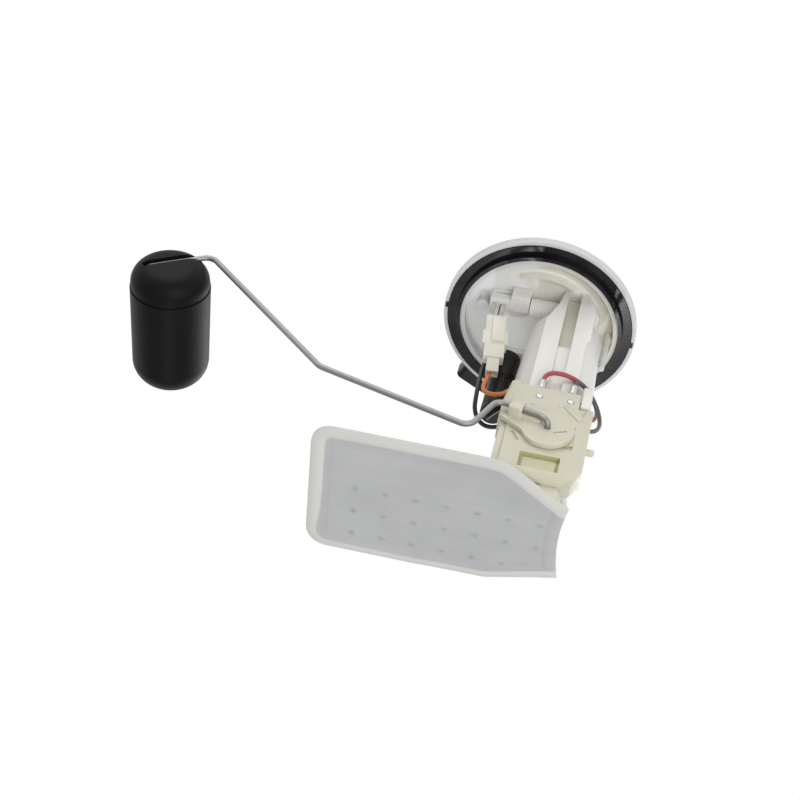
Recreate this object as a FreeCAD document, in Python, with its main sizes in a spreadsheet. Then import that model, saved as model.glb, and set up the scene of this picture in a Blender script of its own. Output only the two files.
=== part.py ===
import FreeCAD, Part
import math
import os
import re
import Sketcher

# In-tank fuel pump module with a level sender, in millimetres.
# The origin is the middle of the seal's lower face, where the tank's opening carries the flange.
# +Z points out of the tank, the sender faces -Y and the float arm reaches towards -X.

Vector = FreeCAD.Vector
Rotation = FreeCAD.Rotation
UP = Vector(0, 0, 1)
ACROSS = Vector(1, 0, 0)
BACK = Vector(0, 1, 0)

# Driving dimensions: name and value, kept in the document's sheet
SIZES = {
    # Clearances
    "seat_gap": 0.05,
    "slip_gap": 0.1,
    "run_gap": 0.05,
    "free_gap": 0.3,
    # Flange
    "rim_radius": 45.0,
    "rim_low": 0.6,
    "rim_tall": 4.8,
    "rim_rounding": 1.1,
    "plate_low": 2.6,
    "skirt_wall": 2.2,
    "skirt_drop": 1.6,
    "seal_inner": 37.0,
    "seal_outer": 43.1,
    "seal_collar": 1.8,
    "seal_drop": 2.6,
    "nub_wide": 2.6,
    "nub_reach": 1.3,
    "nub_turn": 2.4,
    "stem_radius": 6.0,
    "stem_bore": 3.0,
    "stem_drop": 13.0,
    "ring_wire": 0.9,
    "ring_depth": 10.0,
    "boss_radius": 6.6,
    "boss_tall": 12.2,
    "nozzle_radius": 3.95,
    "nozzle_bore": 2.5,
    "nozzle_level": 11.8,
    "nozzle_turn": 60.0,
    "nozzle_reach": 36.0,
    "nozzle_tip": 15.0,
    "bead_step": 1.2,
    "bead_long": 2.0,
    "ridge_radius": 27.0,
    "ridge_wide": 1.8,
    "ridge_tall": 3.0,
    "finger_x": 32.2,
    "finger_root": 1.9,
    "finger_tip": 1.3,
    "finger_long": 27.0,
    # Electrical shroud, terminal block and plug
    "shroud_turn": 118.7,
    "shroud_wide": 22.0,
    "shroud_tall": 11.0,
    "shroud_start": 24.0,
    "shroud_reach": 54.5,
    "shroud_wall": 1.6,
    "shroud_depth": 13.0,
    "pin_thick": 0.8,
    "pin_wide": 2.2,
    "pin_pitch": 4.4,
    "pin_long": 6.5,
    "block_left": -22.4,
    "block_right": -5.2,
    "block_front": -23.6,
    "block_back": -12.0,
    "block_drop": 8.6,
    "blade_long": 3.4,
    "plug_x": -19.2,
    "plug_y": -13.4,
    "plug_top": -10.6,
    "plug_lean": 17.6,
    "plug_sway": 7.2,
    "plug_wide": 9.2,
    "plug_thick": 6.4,
    "plug_head": 9.4,
    "plug_waist": 8.2,
    "plug_foot": 6.4,
    "plug_tail": 12.0,
    # Pump holder and lower cup
    "pump_x": 13.7,
    "pump_y": -3.1,
    "neck_radius": 12.8,
    "neck_drop": 7.0,
    "flare_drop": 28.0,
    "holder_radius": 17.8,
    "holder_drop": 98.0,
    "recess_left": 2.9,
    "recess_right": 4.3,
    "recess_deep": 7.0,
    "recess_shallow": 2.0,
    "cup_radius": 16.3,
    "cup_lap": 10.0,
    "cup_floor": 3.2,
    "cup_eye": 6.0,
    "arm_low": 21.0,
    "arm_thick": 4.2,
    "lug_right": 17.6,
    "lug_inner": 9.5,
    "lug_front": 21.0,
    "lug_top": 70.5,
    "lug_drop": 14.0,
    # Pump
    "case_radius": 14.0,
    "case_wall": 0.8,
    "case_top": 50.0,
    "case_long": 69.0,
    "lip_wide": 0.9,
    "cavity_top": 45.5,
    "cover_tall": 7.5,
    "nipple_radius": 5.0,
    "nipple_tall": 13.0,
    "nipple_bore": 3.2,
    "inlet_tall": 5.0,
    "inlet_neck": 4.2,
    "inlet_bore": 2.8,
    "inlet_long": 13.2,
    "impeller_radius": 10.9,
    "impeller_thick": 3.0,
    "impeller_blades": 24,
    "blade_deep": 1.8,
    "chamber_plate": 3.4,
    "shaft_radius": 1.5,
    "bushing_radius": 3.6,
    "bushing_tall": 3.0,
    "magnet_thick": 1.8,
    "magnet_span": 128.0,
    "air_gap": 0.6,
    "core_slots": 6,
    "slot_wide": 1.6,
    "slot_deep": 4.6,
    "coil_tall": 3.2,
    "commutator_radius": 5.0,
    "commutator_long": 7.0,
    "brush_wide": 3.0,
    "brush_long": 2.6,
    "pin_offset": 8.5,
    # Valves
    "seat_bore": 1.8,
    "poppet_radius": 2.7,
    "poppet_thick": 1.4,
    "poppet_stem": 0.9,
    "poppet_tall": 5.6,
    "valve_lift": 1.5,
    "spring_wire": 0.3,
    "regulator_x": -11.0,
    "regulator_y": 8.0,
    "regulator_radius": 5.4,
    "regulator_low": 62.0,
    "collar_radius": 6.9,
    "collar_low": 36.5,
    "lid_tall": 8.0,
    "diaphragm_thick": 0.6,
    "nozzle_seat": 2.2,
    "regulator_lift": 1.0,
    # Strainer
    "bag_drop": 22.7,
    "bag_tall": 7.4,
    "bag_left": -74.2,
    "bag_right": 31.0,
    "bag_front": -37.3,
    "bag_back": 28.8,
    "bag_corner": 9.0,
    "bag_notch_x": 4.8,
    "bag_notch_y": -18.4,
    "bag_hollow": 2.3,
    "border_wide": 5.5,
    "roof_border": 3.0,
    "border_edge": 1.2,
    "mesh_thick": 0.8,
    "neck_wall": 8.4,
    "neck_flange": 10.3,
    "pin_columns": 6,
    "row_step": 12.2,
    "pin_step": 12.6,
    "pin_first_x": -54.8,
    "pin_first_y": -5.8,
    "spacer_pin": 1.1,
    "spacer_bar": 1.8,
    # Level sender
    "face_y": -25.0,
    "base_back": 14.0,
    "base_left": -3.7,
    "base_right": 33.5,
    "base_top": -77.3,
    "base_low": -133.6,
    "notch_left": 26.6,
    "notch_low": -91.0,
    "shoulder_top": -86.4,
    "base_rounding": 2.2,
    "pivot_x": 15.7,
    "pivot_z": -106.1,
    "spindle_radius": 3.5,
    "spindle_long": 3.2,
    "lever_radius": 11.4,
    "lever_thick": 4.0,
    "lever_reach": 21.0,
    "lever_half": 4.6,
    "lever_tip": 3.6,
    "lever_tilt": 12.5,
    "wire_radius": 1.25,
    "wire_rise": 2.1,
    "wire_plane": -30.6,
    "strap_start": 11.6,
    "strap_long": 5.8,
    "window_left": 7.0,
    "window_right": 23.4,
    "window_top": -120.6,
    "window_low": -129.8,
    "window_deep": 2.4,
    "card_long": 15.0,
    "card_tall": 6.0,
    "card_thick": 0.8,
    "card_drop": 6.9,
    "rivet_radius": 1.5,
    "rivet_left": 9.5,
    "rivet_right": 22.8,
    "rivet_z": -83.6,
    "crimp_radius": 1.7,
    "crimp_long": 6.2,
    "peg_radius": 1.5,
    "peg_long": 5.2,
    "peg_y": -20.0,
    "peg_z": -108.0,
    # Float
    "float_x": -161.3,
    "float_z": -52.4,
    "float_radius": 18.0,
    "float_end_radius": 17.3,
    "float_seam": -21.5,
    "float_front": -33.0,
    "float_back": 31.0,
    "float_round": 13.0,
    "cap_round": 9.0,
    "float_wall": 1.3,
    "cap_step": 0.4,
    "groove_wide": 3.4,
    "groove_ahead": 14.7,
    "groove_behind": 10.2,
    "groove_rise": 14.8,
    "groove_fall": 1.8,
    "elbow_run": 30.5,
    "elbow_drop": 12.7,
    "knee_run": 97.3,
    "knee_rise": 6.7,
    # Leads
    "lead_radius": 1.0,
    "lead_hole_x": -1.1,
    "orange_hole_y": -19.8,
    "amber_hole_y": -16.4,
    "splice_radius": 2.15,
    "splice_long": 9.0,
    "red_turn": 62.0,
    "red_drop": 38.5,
    "grey_turn": 78.0,
    "grey_drop": 41.5,
    "port_start": 13.0,
}

# Lengths that follow from the driving dimensions
DERIVED = {
    "rim_top": "rim_low + rim_tall",
    "groove_outer": "seal_outer + 2 * seal_gap",
    "seal_gap": "slip_gap",
    "skirt_radius": "seal_inner - slip_gap",
    "skirt_inner": "skirt_radius - skirt_wall",
    "boss_top": "rim_top + boss_tall",
    "ring_radius": "stem_radius + slip_gap - ring_wire + 0.1",
    "stem_hole": "stem_radius + 2 * slip_gap",
    "shroud_low": "rim_top + seat_gap",
    "block_low": "-block_drop",
    "holder_top": "plate_low - free_gap",
    "holder_bore": "case_radius + 2 * free_gap",
    "nipple_top": "cover_tall + nipple_tall - case_top",
    "cup_top": "cup_lap - holder_drop - free_gap",
    "case_low": "-case_top - case_long",
    "case_inner": "case_radius - case_wall",
    "stack_radius": "case_inner - slip_gap",
    "inlet_end": "case_low - inlet_long",
    "inlet_low": "case_low + case_wall + slip_gap",
    "inlet_high": "inlet_low + inlet_tall",
    "impeller_low": "inlet_high + 2 * slip_gap",
    "impeller_high": "impeller_low + impeller_thick",
    "plate_start": "impeller_high + 2 * slip_gap",
    "plate_high": "plate_start + chamber_plate",
    "cover_high": "-case_top - case_wall - slip_gap",
    "cover_low": "cover_high - cover_tall",
    "shaft_low": "impeller_low - 0.5",
    "shaft_high": "cover_low + bushing_tall - 0.3",
    "core_low": "plate_high + 6.0",
    "core_high": "commutator_low - coil_tall - 1.5",
    "magnet_low": "plate_high + 1.5",
    "magnet_high": "core_high + 2.5",
    "magnet_inner": "stack_radius - magnet_thick",
    "core_radius": "magnet_inner - air_gap",
    "commutator_low": "commutator_high - commutator_long",
    "commutator_high": "cover_low - 0.6",
    "cup_low": "case_low - isolator_tall - cup_floor",
    "isolator_tall": "4.6",
    "bag_floor": "case_low - bag_drop",
    "bag_top": "bag_floor + bag_tall",
    "seam_level": "bag_floor + bag_tall / 2",
    "lever_back": "face_y - free_gap",
    "lever_face": "lever_back - lever_thick",
    "seat_level": "cover_high - 1.0",
    "poppet_low": "seat_level + seat_gap",
}

WORD = re.compile(r"[a-z][a-z0-9_]*")

doc = FreeCAD.newDocument("fuel_pump")
sheet = doc.addObject("Spreadsheet::Sheet", "Sizes")
for row, (alias, size) in enumerate(SIZES.items(), start=1):
    sheet.set(f"A{row}", alias)
    sheet.set(f"B{row}", str(size))
    sheet.setAlias(f"B{row}", alias)
doc.recompute()

parts = []


def bound(text):
    """Write an expression with every size named by its sheet."""
    def name(found):
        word = found.group(0)
        if word in DERIVED:
            return "(" + bound(DERIVED[word]) + ")"
        return "Sizes." + word if word in SIZES else word
    return WORD.sub(name, text)


def val(text):
    """The present value of an expression."""
    return float(sheet.evalExpression(bound(text)))


def at(x, y, z):
    """A point whose coordinates are expressions."""
    return Vector(val(x), val(y), val(z))


def bind_place(thing, x="0", y="0", z="0"):
    for axis, text in zip("xyz", (x, y, z)):
        thing.setExpression(f"Placement.Base.{axis}", bound(text))


def new_body(label, x="0", y="0", z="0", rotation=None):
    body = doc.addObject("PartDesign::Body", label)
    body.Label = label
    if rotation is not None:
        body.Placement = FreeCAD.Placement(Vector(), rotation)
    bind_place(body, x, y, z)
    parts.append(body)
    return body


def corners(*points):
    """A closed outline of straight edges through the given corners."""
    def draw(sketch):
        first = sketch.GeometryCount
        count = len(points)
        values = [Vector(val(x), val(y), 0) for x, y in points]
        for i in range(count):
            sketch.addGeometry(Part.LineSegment(values[i], values[(i + 1) % count]), False)
        for i in range(count):
            sketch.addConstraint(Sketcher.Constraint("Coincident", first + i, 2, first + (i + 1) % count, 1))
        for i, (x, y) in enumerate(points):
            for kind, text, value, axis in (("DistanceX", x, values[i].x, -2), ("DistanceY", y, values[i].y, -1)):
                if text == "0":
                    sketch.addConstraint(Sketcher.Constraint("PointOnObject", first + i, 1, axis))
                else:
                    index = sketch.addConstraint(Sketcher.Constraint(kind, -1, 1, first + i, 1, value))
                    sketch.setExpression(f"Constraints[{index}]", bound(text))
    return draw


def rectangle(left, low, right, high):
    return corners((left, low), (right, low), (right, high), (left, high))


def circle(x, y, radius):
    def draw(sketch):
        edge = sketch.addGeometry(Part.Circle(Vector(val(x), val(y), 0), UP, val(radius)), False)
        for kind, text, value, axis in (("DistanceX", x, val(x), -2), ("DistanceY", y, val(y), -1)):
            if text == "0":
                sketch.addConstraint(Sketcher.Constraint("PointOnObject", edge, 3, axis))
            else:
                index = sketch.addConstraint(Sketcher.Constraint(kind, -1, 1, edge, 3, value))
                sketch.setExpression(f"Constraints[{index}]", bound(text))
        index = sketch.addConstraint(Sketcher.Constraint("Radius", edge, val(radius)))
        sketch.setExpression(f"Constraints[{index}]", bound(radius))
    return draw


def add_sketch(body, name, role, outlines, offset="0", turn=0.0):
    """A sketch on one of the body's own origin planes, shifted along its normal."""
    sketch = body.newObject("Sketcher::SketchObject", name)
    plane = [feature for feature in body.Origin.OriginFeatures if feature.Role == role][0]
    sketch.AttachmentSupport = (plane, [""])
    sketch.MapMode = "FlatFace"
    sketch.AttachmentOffset = FreeCAD.Placement(Vector(), Rotation(BACK, turn))
    sketch.setExpression("AttachmentOffset.Base.z", bound(offset))
    for draw in outlines:
        draw(sketch)
    return sketch


def checked(body, feature, cut):
    """Recompute, and make sure that a cut removed something and a pad added something."""
    before = body.Tip.Shape.Volume if body.Tip and body.Tip is not feature else None
    body.Tip = feature
    doc.recompute()
    base = feature.BaseFeature.Shape.Volume if feature.BaseFeature else before
    if base is not None:
        change = feature.Shape.Volume - base
        if (change >= 0) if cut else (change <= 0):
            raise RuntimeError(f"{body.Label}: {feature.Name} changed nothing")
    return feature


def prism(body, name, role, outlines, low, high, cut=False):
    """Pad or pocket an outline from one level to another along its plane's axis."""
    offset = f"-({high})" if role == "XZ_Plane" else low
    sketch = add_sketch(body, name + "Sketch", role, outlines, offset)
    feature = body.newObject("PartDesign::Pocket" if cut else "PartDesign::Pad", name)
    feature.Profile = sketch
    feature.setExpression("Length", bound(f"({high}) - ({low})"))
    feature.Reversed = cut
    return checked(body, feature, cut)


def turned(body, name, outline, cut=False, role="XZ_Plane", angle="360", turn=0.0):
    """Revolve an outline round its plane's vertical axis."""
    sketch = add_sketch(body, name + "Sketch", role, [outline], "0", turn)
    feature = body.newObject("PartDesign::Groove" if cut else "PartDesign::Revolution", name)
    feature.Profile = sketch
    feature.ReferenceAxis = (sketch, ["V_Axis"])
    feature.setExpression("Angle", bound(angle))
    return checked(body, feature, cut)


def rod(body, name, radius, length, base, rotation=None, cut=False, tip=None):
    """An additive or subtractive cylinder, or a cone where a tip radius is given."""
    shape = "Cone" if tip else "Cylinder"
    kind = "Subtractive" if cut else "Additive"
    feature = body.newObject(f"PartDesign::{kind}{shape}", name)
    feature.Placement = FreeCAD.Placement(Vector(), rotation or Rotation())
    bind_place(feature, *base)
    feature.setExpression("Radius1" if tip else "Radius", bound(radius))
    if tip:
        feature.setExpression("Radius2", bound(tip))
    feature.setExpression("Height", bound(length))
    return checked(body, feature, cut)


def dressed(body, name, size, chosen, kind="Fillet"):
    """Round or bevel the edges that a test chooses."""
    base = body.Tip
    names = [f"Edge{i}" for i, edge in enumerate(base.Shape.Edges, start=1) if chosen(edge)]
    if not names:
        raise RuntimeError(f"{body.Label}: {name} found no edges")
    feature = body.newObject(f"PartDesign::{kind}", name)
    feature.Base = (base, names)
    feature.setExpression("Radius" if kind == "Fillet" else "Size", bound(size))
    body.Tip = feature
    doc.recompute()
    return feature


def polar(body, name, originals, count):
    """Repeat features evenly round the body's Z axis."""
    feature = body.newObject("PartDesign::PolarPattern", name)
    feature.Originals = originals
    axis = [item for item in body.Origin.OriginFeatures if item.Role == "Z_Axis"][0]
    feature.Axis = (axis, [""])
    feature.Angle = 360
    feature.setExpression("Occurrences", bound(count))
    body.Tip = feature
    doc.recompute()
    return feature


def solid(kind, name, place=("0", "0", "0"), rotation=None, **sizes):
    """A primitive with bound sizes."""
    thing = doc.addObject(f"Part::{kind}", name)
    thing.Placement = FreeCAD.Placement(Vector(), rotation or Rotation())
    bind_place(thing, *place)
    for prop, text in sizes.items():
        thing.setExpression(prop, bound(text))
    return thing


def ring(name, outer, inner, low, high, x="0", y="0"):
    """A tube standing on Z."""
    tube = doc.addObject("Part::Cut", name)
    tube.Base = solid("Cylinder", name + "Outside", (x, y, low), Radius=outer, Height=f"({high}) - ({low})")
    tube.Tool = solid("Cylinder", name + "Inside", (x, y, low), Radius=inner, Height=f"({high}) - ({low})")
    return tube


def group(label, members):
    """Several like solids kept as one sub-part."""
    bundle = doc.addObject("Part::Compound", label)
    bundle.Label = label
    bundle.Links = members
    parts.append(bundle)
    return bundle


def single(label, thing):
    thing.Label = label
    parts.append(thing)
    return thing


def made(label, shape, base=Vector()):
    """A sub-part whose shape is built directly from the sheet's values."""
    feature = doc.addObject("Part::Feature", label)
    feature.Label = label
    feature.Shape = shape
    feature.Placement = FreeCAD.Placement(base, Rotation())
    parts.append(feature)
    return feature


def upright(edge):
    """Whether an edge is straight and runs along Z."""
    return edge.Curve.TypeId == "Part::GeomLine" and abs(edge.Curve.Direction.z) > 0.999


def level_arc(edge, radius, z, slack=0.02):
    """Whether an edge is a round edge of this radius at this level."""
    if edge.Curve.TypeId != "Part::GeomCircle" or abs(edge.Curve.Radius - radius) > slack:
        return False
    return abs(edge.BoundBox.ZMin - z) < slack and abs(edge.BoundBox.ZMax - z) < slack


def smooth_path(points, radii):
    """Straight runs joined by tangent arcs; returns the wire and its length."""
    edges = []
    start = points[0]
    for before, corner, after, radius in zip(points, points[1:], points[2:], radii):
        inward = (before - corner).normalize()
        outward = (after - corner).normalize()
        half = (math.pi - inward.getAngle(outward)) / 2
        tangent = radius * math.tan(half)
        first = corner + inward * tangent
        last = corner + outward * tangent
        middle = (inward + outward).normalize()
        centre = corner + middle * (radius / math.cos(half))
        edges.append(Part.LineSegment(start, first).toShape())
        edges.append(Part.Arc(first, centre - middle * radius, last).toShape())
        start = last
    edges.append(Part.LineSegment(start, points[-1]).toShape())
    wire = Part.Wire(edges)
    return wire, wire.Length


def piped(points, radii, radius):
    """A round bar or lead along straight runs joined by tangent arcs."""
    wire, length = smooth_path(points, radii)
    direction = points[1] - points[0]
    section = Part.Wire([Part.Circle(points[0], direction, radius).toShape()])
    tube = wire.makePipeShell([section], True, True)
    expected = math.pi * radius ** 2 * length
    if abs(tube.Volume / expected - 1) > 0.01:
        raise RuntimeError("a swept bar has the wrong volume")
    return tube


def lead_radii(points):
    """Each bend as large as its two runs allow."""
    radii = []
    for before, corner, after in zip(points, points[1:], points[2:]):
        one = before - corner
        two = after - corner
        half = (math.pi - one.getAngle(two)) / 2
        radii.append(0.45 * min(one.Length, two.Length) / math.tan(half))
    return radii


def spring(label, place, coil, height, pitch):
    """A coil spring standing on Z."""
    helix = doc.addObject("Part::Helix", label + "_path")
    helix.setExpression("Radius", bound(coil))
    helix.setExpression("Height", bound(height))
    helix.setExpression("Pitch", bound(pitch))
    section = doc.addObject("Part::RegularPolygon", label + "_section")
    section.Polygon = 6
    section.setExpression("Circumradius", bound("spring_wire"))
    section.Placement = FreeCAD.Placement(Vector(), Rotation(ACROSS, 90))
    section.setExpression("Placement.Base.x", bound(coil))
    sweep = doc.addObject("Part::Sweep", label)
    sweep.Sections = [section]
    sweep.Spine = (helix, ["Edge1"])
    sweep.Solid = True
    sweep.Frenet = True
    bind_place(sweep, *place)
    return sweep


def make_flange():
    body = new_body("flange")
    turned(body, "Disc", corners(
        ("0", "rim_top"), ("rim_radius", "rim_top"), ("rim_radius", "rim_low"), ("groove_outer", "rim_low"),
        ("groove_outer", "plate_low"), ("skirt_radius", "plate_low"), ("skirt_radius", "-skirt_drop"),
        ("skirt_inner", "-skirt_drop"), ("skirt_inner", "plate_low"), ("0", "plate_low")))
    dressed(body, "RimRounding", "rim_rounding",
            lambda edge: level_arc(edge, val("rim_radius"), val("rim_top")))
    prism(body, "Stem", "XY_Plane", [circle("pump_x", "pump_y", "stem_radius")], "-stem_drop", "plate_low")
    prism(body, "Boss", "XY_Plane", [circle("pump_x", "pump_y", "boss_radius")], "plate_low", "boss_top")
    aim = Rotation(UP, val("nozzle_turn")) * Rotation(BACK, 90)
    level = "rim_top + nozzle_level - 5.4"
    rod(body, "Nozzle", "nozzle_radius", "nozzle_reach", ("pump_x", "pump_y", level), aim)
    reach = "(nozzle_reach - nozzle_tip - bead_long)"
    bead = (f"pump_x + {reach} * cos(nozzle_turn)", f"pump_y + {reach} * sin(nozzle_turn)", level)
    rod(body, "Bead", "nozzle_radius + bead_step", "bead_long", bead, aim)
    prism(body, "RingGroove", "XY_Plane",
          [circle("pump_x", "pump_y", "stem_radius + 1"),
           circle("pump_x", "pump_y", "ring_radius - ring_wire - seat_gap")],
          "-ring_depth - ring_wire - slip_gap", "-ring_depth + ring_wire + slip_gap", cut=True)
    prism(body, "StemBore", "XY_Plane", [circle("pump_x", "pump_y", "stem_bore")], "-stem_drop",
          level, cut=True)
    rod(body, "NozzleBore", "nozzle_bore", "nozzle_reach", ("pump_x", "pump_y", level), aim, cut=True)
    turned(body, "Ridge", rectangle("ridge_radius - ridge_wide / 2", "plate_low - ridge_tall",
                                    "ridge_radius + ridge_wide / 2", "plate_low"), angle="55", turn=-114)
    rod(body, "Finger", "finger_tip", "finger_long", ("finger_x", "0", "plate_low - finger_long"),
        tip="finger_root")
    prism(body, "SideBoss", "XY_Plane", [circle("-27", "-7", "2.8")], "plate_low - 5", "plate_low")
    return body


def make_seal():
    body = new_body("tank_seal")
    turned(body, "Section", corners(
        ("seal_inner", "plate_low"), ("seal_outer", "plate_low"), ("seal_outer", "0"),
        ("seal_inner + seal_collar", "0"), ("seal_inner + seal_collar", "-seal_drop"),
        ("seal_inner", "-seal_drop")))
    for index, side in enumerate((1, -1)):
        turn = val("nub_turn") + (180 if side < 0 else 0)
        nub = body.newObject("PartDesign::AdditiveBox", f"Nub{index}")
        nub.Placement = FreeCAD.Placement(Vector(), Rotation(UP, turn))
        reach = "seal_outer - 1"
        heading = f"nub_turn + {180 if side < 0 else 0}"
        bind_place(nub, f"({reach}) * cos({heading}) + nub_wide / 2 * sin({heading})",
                   f"({reach}) * sin({heading}) - nub_wide / 2 * cos({heading})", "0")
        nub.setExpression("Length", bound("1 + nub_reach"))
        nub.setExpression("Width", bound("nub_wide"))
        nub.setExpression("Height", bound("rim_low - seat_gap"))
        checked(body, nub, False)
    return body


def make_stem_ring():
    ring_seal = solid("Torus", "stem_o_ring", ("pump_x", "pump_y", "-ring_depth"),
                      Radius1="ring_radius", Radius2="ring_wire - 0.05")
    single("stem_o_ring", ring_seal)


def make_shroud():
    """The black socket on top of the flange, open on its outer end."""
    body = new_body("connector_shroud", rotation=Rotation(UP, val("shroud_turn")))
    low = "shroud_low"
    high = "shroud_low + shroud_tall"
    prism(body, "Shell", "XY_Plane", [rectangle("shroud_start", "-shroud_wide / 2", "shroud_reach", "shroud_wide / 2")],
          low, high)
    dressed(body, "ShellRounding", "2.4", lambda edge: edge.Curve.TypeId == "Part::GeomLine"
            and abs(edge.Curve.Direction.x) > 0.999)
    prism(body, "Mouth", "XY_Plane",
          [rectangle("shroud_reach - shroud_depth", "-shroud_wide / 2 + shroud_wall", "shroud_reach",
                     "shroud_wide / 2 - shroud_wall")],
          "shroud_low + shroud_wall", "shroud_low + shroud_tall - shroud_wall", cut=True)
    middle = "shroud_low + shroud_tall / 2"
    for index in range(4):
        y = f"({index} - 1.5) * pin_pitch"
        prism(body, f"PinHole{index}", "XY_Plane",
              [rectangle("shroud_reach - shroud_depth - 6", f"{y} - pin_wide / 2 - slip_gap",
                         "shroud_reach - shroud_depth", f"{y} + pin_wide / 2 + slip_gap")],
              f"{middle} - pin_thick / 2 - slip_gap", f"{middle} + pin_thick / 2 + slip_gap", cut=True)
    pins = []
    for index in range(4):
        y = f"({index} - 1.5) * pin_pitch - pin_wide / 2"
        start = "(shroud_reach - shroud_depth - 5.5)"
        place = (f"{start} * cos(shroud_turn) - ({y}) * sin(shroud_turn)",
                 f"{start} * sin(shroud_turn) + ({y}) * cos(shroud_turn)", f"{middle} - pin_thick / 2")
        pins.append(solid("Box", f"ShroudPin{index}", place, Rotation(UP, val("shroud_turn")),
                          Length="pin_long + 5.5", Width="pin_wide", Height="pin_thick"))
    group("shroud_pins", pins)


def make_terminal_block():
    body = new_body("terminal_block")
    prism(body, "Block", "XY_Plane", [rectangle("block_left", "block_front", "block_right", "block_back")],
          "block_low", "plate_low - seat_gap")
    dressed(body, "BlockRounding", "0.8", upright)
    prism(body, "Slot", "XY_Plane", [rectangle("block_left + 3.4", "block_front + 3.4", "block_left + 9.4",
                                               "block_front + 6.0")], "block_low", "block_low + 5", cut=True)
    for index in range(2):
        x = f"plug_x + ({index} - 0.5) * pin_pitch"
        prism(body, f"BladeHole{index}", "XY_Plane",
              [rectangle(f"{x} - pin_wide / 2 - slip_gap", "plug_y - 0.5 - slip_gap",
                         f"{x} + pin_wide / 2 + slip_gap", "plug_y + 0.5 + slip_gap")],
              "block_low", "block_low + 6", cut=True)
    blades = []
    for index in range(2):
        x = f"plug_x + ({index} - 0.5) * pin_pitch"
        blades.append(solid("Box", f"Blade{index}", (f"{x} - pin_wide / 2", "plug_y - 0.5", "plug_top + 0.5"),
                            Length="pin_wide", Width="1.0", Height="block_low + 5.5 - plug_top - 0.5"))
    group("terminal_blades", blades)


def make_plug():
    """The harness plug that hangs from the terminal block."""
    tilt = Rotation(BACK, -val("plug_sway")) * Rotation(ACROSS, val("plug_lean"))
    body = new_body("harness_plug", "plug_x", "plug_y", "plug_top", tilt)
    half = "plug_wide / 2"
    waist = "-plug_head - plug_waist"
    foot = "-plug_head - plug_waist - plug_foot"
    end = "-plug_head - plug_waist - plug_foot - plug_tail"
    prism(body, "Housing", "XZ_Plane", [corners(
        (f"-{half}", "0"), (f"-{half}", "-plug_head"), (f"-{half} - 1", "-plug_head"), (f"-{half} - 1", waist),
        (f"-{half}", waist), (f"-{half}", foot), (f"-{half} + 1.3", foot), (f"-{half} + 2", end),
        (f"{half} - 2", end), (f"{half} - 1.3", foot), (half, foot), (half, waist), (f"{half} + 1", waist),
        (f"{half} + 1", "-plug_head"), (half, "-plug_head"), (half, "0"))],
        "-plug_thick / 2", "plug_thick / 2")
    dressed(body, "PlugRounding", "0.5", lambda edge: edge.Curve.TypeId == "Part::GeomLine"
            and abs(edge.Curve.Direction.y) > 0.999 and edge.BoundBox.XMin > -val("plug_wide") / 2 - 2
            and edge.BoundBox.ZMax < val("-plug_head - plug_waist - plug_foot + 0.1"))
    prism(body, "Latch", "XZ_Plane", [rectangle("-2.2", "-plug_head - plug_waist + 1", "2.2", "-2")],
          "-plug_thick / 2 - 1.1", "-plug_thick / 2")
    prism(body, "Socket", "XY_Plane", [rectangle(f"-{half} + 1", "-plug_thick / 2 + 1", f"{half} - 1",
                                                 "plug_thick / 2 - 1")], "-plug_head", "0", cut=True)
    prism(body, "TailBore", "XY_Plane", [rectangle("-2.15 * lead_radius", "-1.1 * lead_radius", "2.15 * lead_radius",
                                                   "1.1 * lead_radius")], end, f"{end} + 8", cut=True)
    return body


def make_holder():
    """The white pump holder: a flared tube with two columns and a recess between them."""
    body = new_body("pump_holder", "pump_x", "pump_y")
    turned(body, "Tube", corners(
        ("stem_hole", "holder_top"), ("neck_radius", "holder_top"), ("neck_radius", "-neck_drop"),
        ("holder_radius", "-flare_drop"), ("holder_radius", "-holder_drop"),
        ("cup_radius + slip_gap", "-holder_drop"), ("cup_radius + slip_gap", "cup_lap - holder_drop"),
        ("holder_bore", "cup_lap - holder_drop"), ("holder_bore", "-cavity_top"),
        ("nipple_radius + slip_gap", "-cavity_top"), ("nipple_radius + slip_gap", "nipple_top + free_gap"),
        ("stem_bore", "nipple_top + free_gap"), ("stem_bore", "-stem_drop - free_gap"),
        ("stem_hole", "-stem_drop - free_gap")))
    dressed(body, "FlareRounding", "5", lambda edge: level_arc(edge, val("holder_radius"), -val("flare_drop")))
    front = "-holder_radius - 2"
    prism(body, "DeepRecess", "XY_Plane",
          [rectangle("-recess_left", front, "recess_right", "-recess_deep - 0.4")],
          "-cavity_top + 7", "holder_top - 3", cut=True)
    prism(body, "ShallowRecess", "XY_Plane",
          [rectangle("-recess_left", front, "recess_right", "recess_shallow - holder_radius")],
          "-80", "-cavity_top + 7", cut=True)
    prism(body, "Arm", "XY_Plane",
          [rectangle("regulator_x - pump_x - 6", "regulator_y - pump_y - 5.5", "-7", "regulator_y - pump_y + 1.8")],
          "-arm_low", "arm_thick - arm_low")
    for name, turn, level in (("RedPort", "red_turn", "-red_drop"), ("GreyPort", "grey_turn", "-grey_drop")):
        rod(body, name, "lead_radius + slip_gap", "holder_radius + 2 - port_start",
            (f"port_start * cos({turn})", f"port_start * sin({turn})", level),
            Rotation(UP, val(turn)) * Rotation(BACK, 90), cut=True)
    prism(body, "Lug", "XY_Plane",
          [rectangle("notch_left - pump_x + free_gap", "-lug_front", "lug_right", "-lug_inner")],
          "-lug_top - lug_drop", "-lug_top")
    dressed(body, "LugRounding", "2.6", lambda edge: edge.CenterOfMass.x > val("lug_right") - 0.1
            and edge.BoundBox.ZMax < -val("lug_top") + 0.1 and edge.BoundBox.ZMin > -val("lug_top") - 0.1)
    return body


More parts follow.
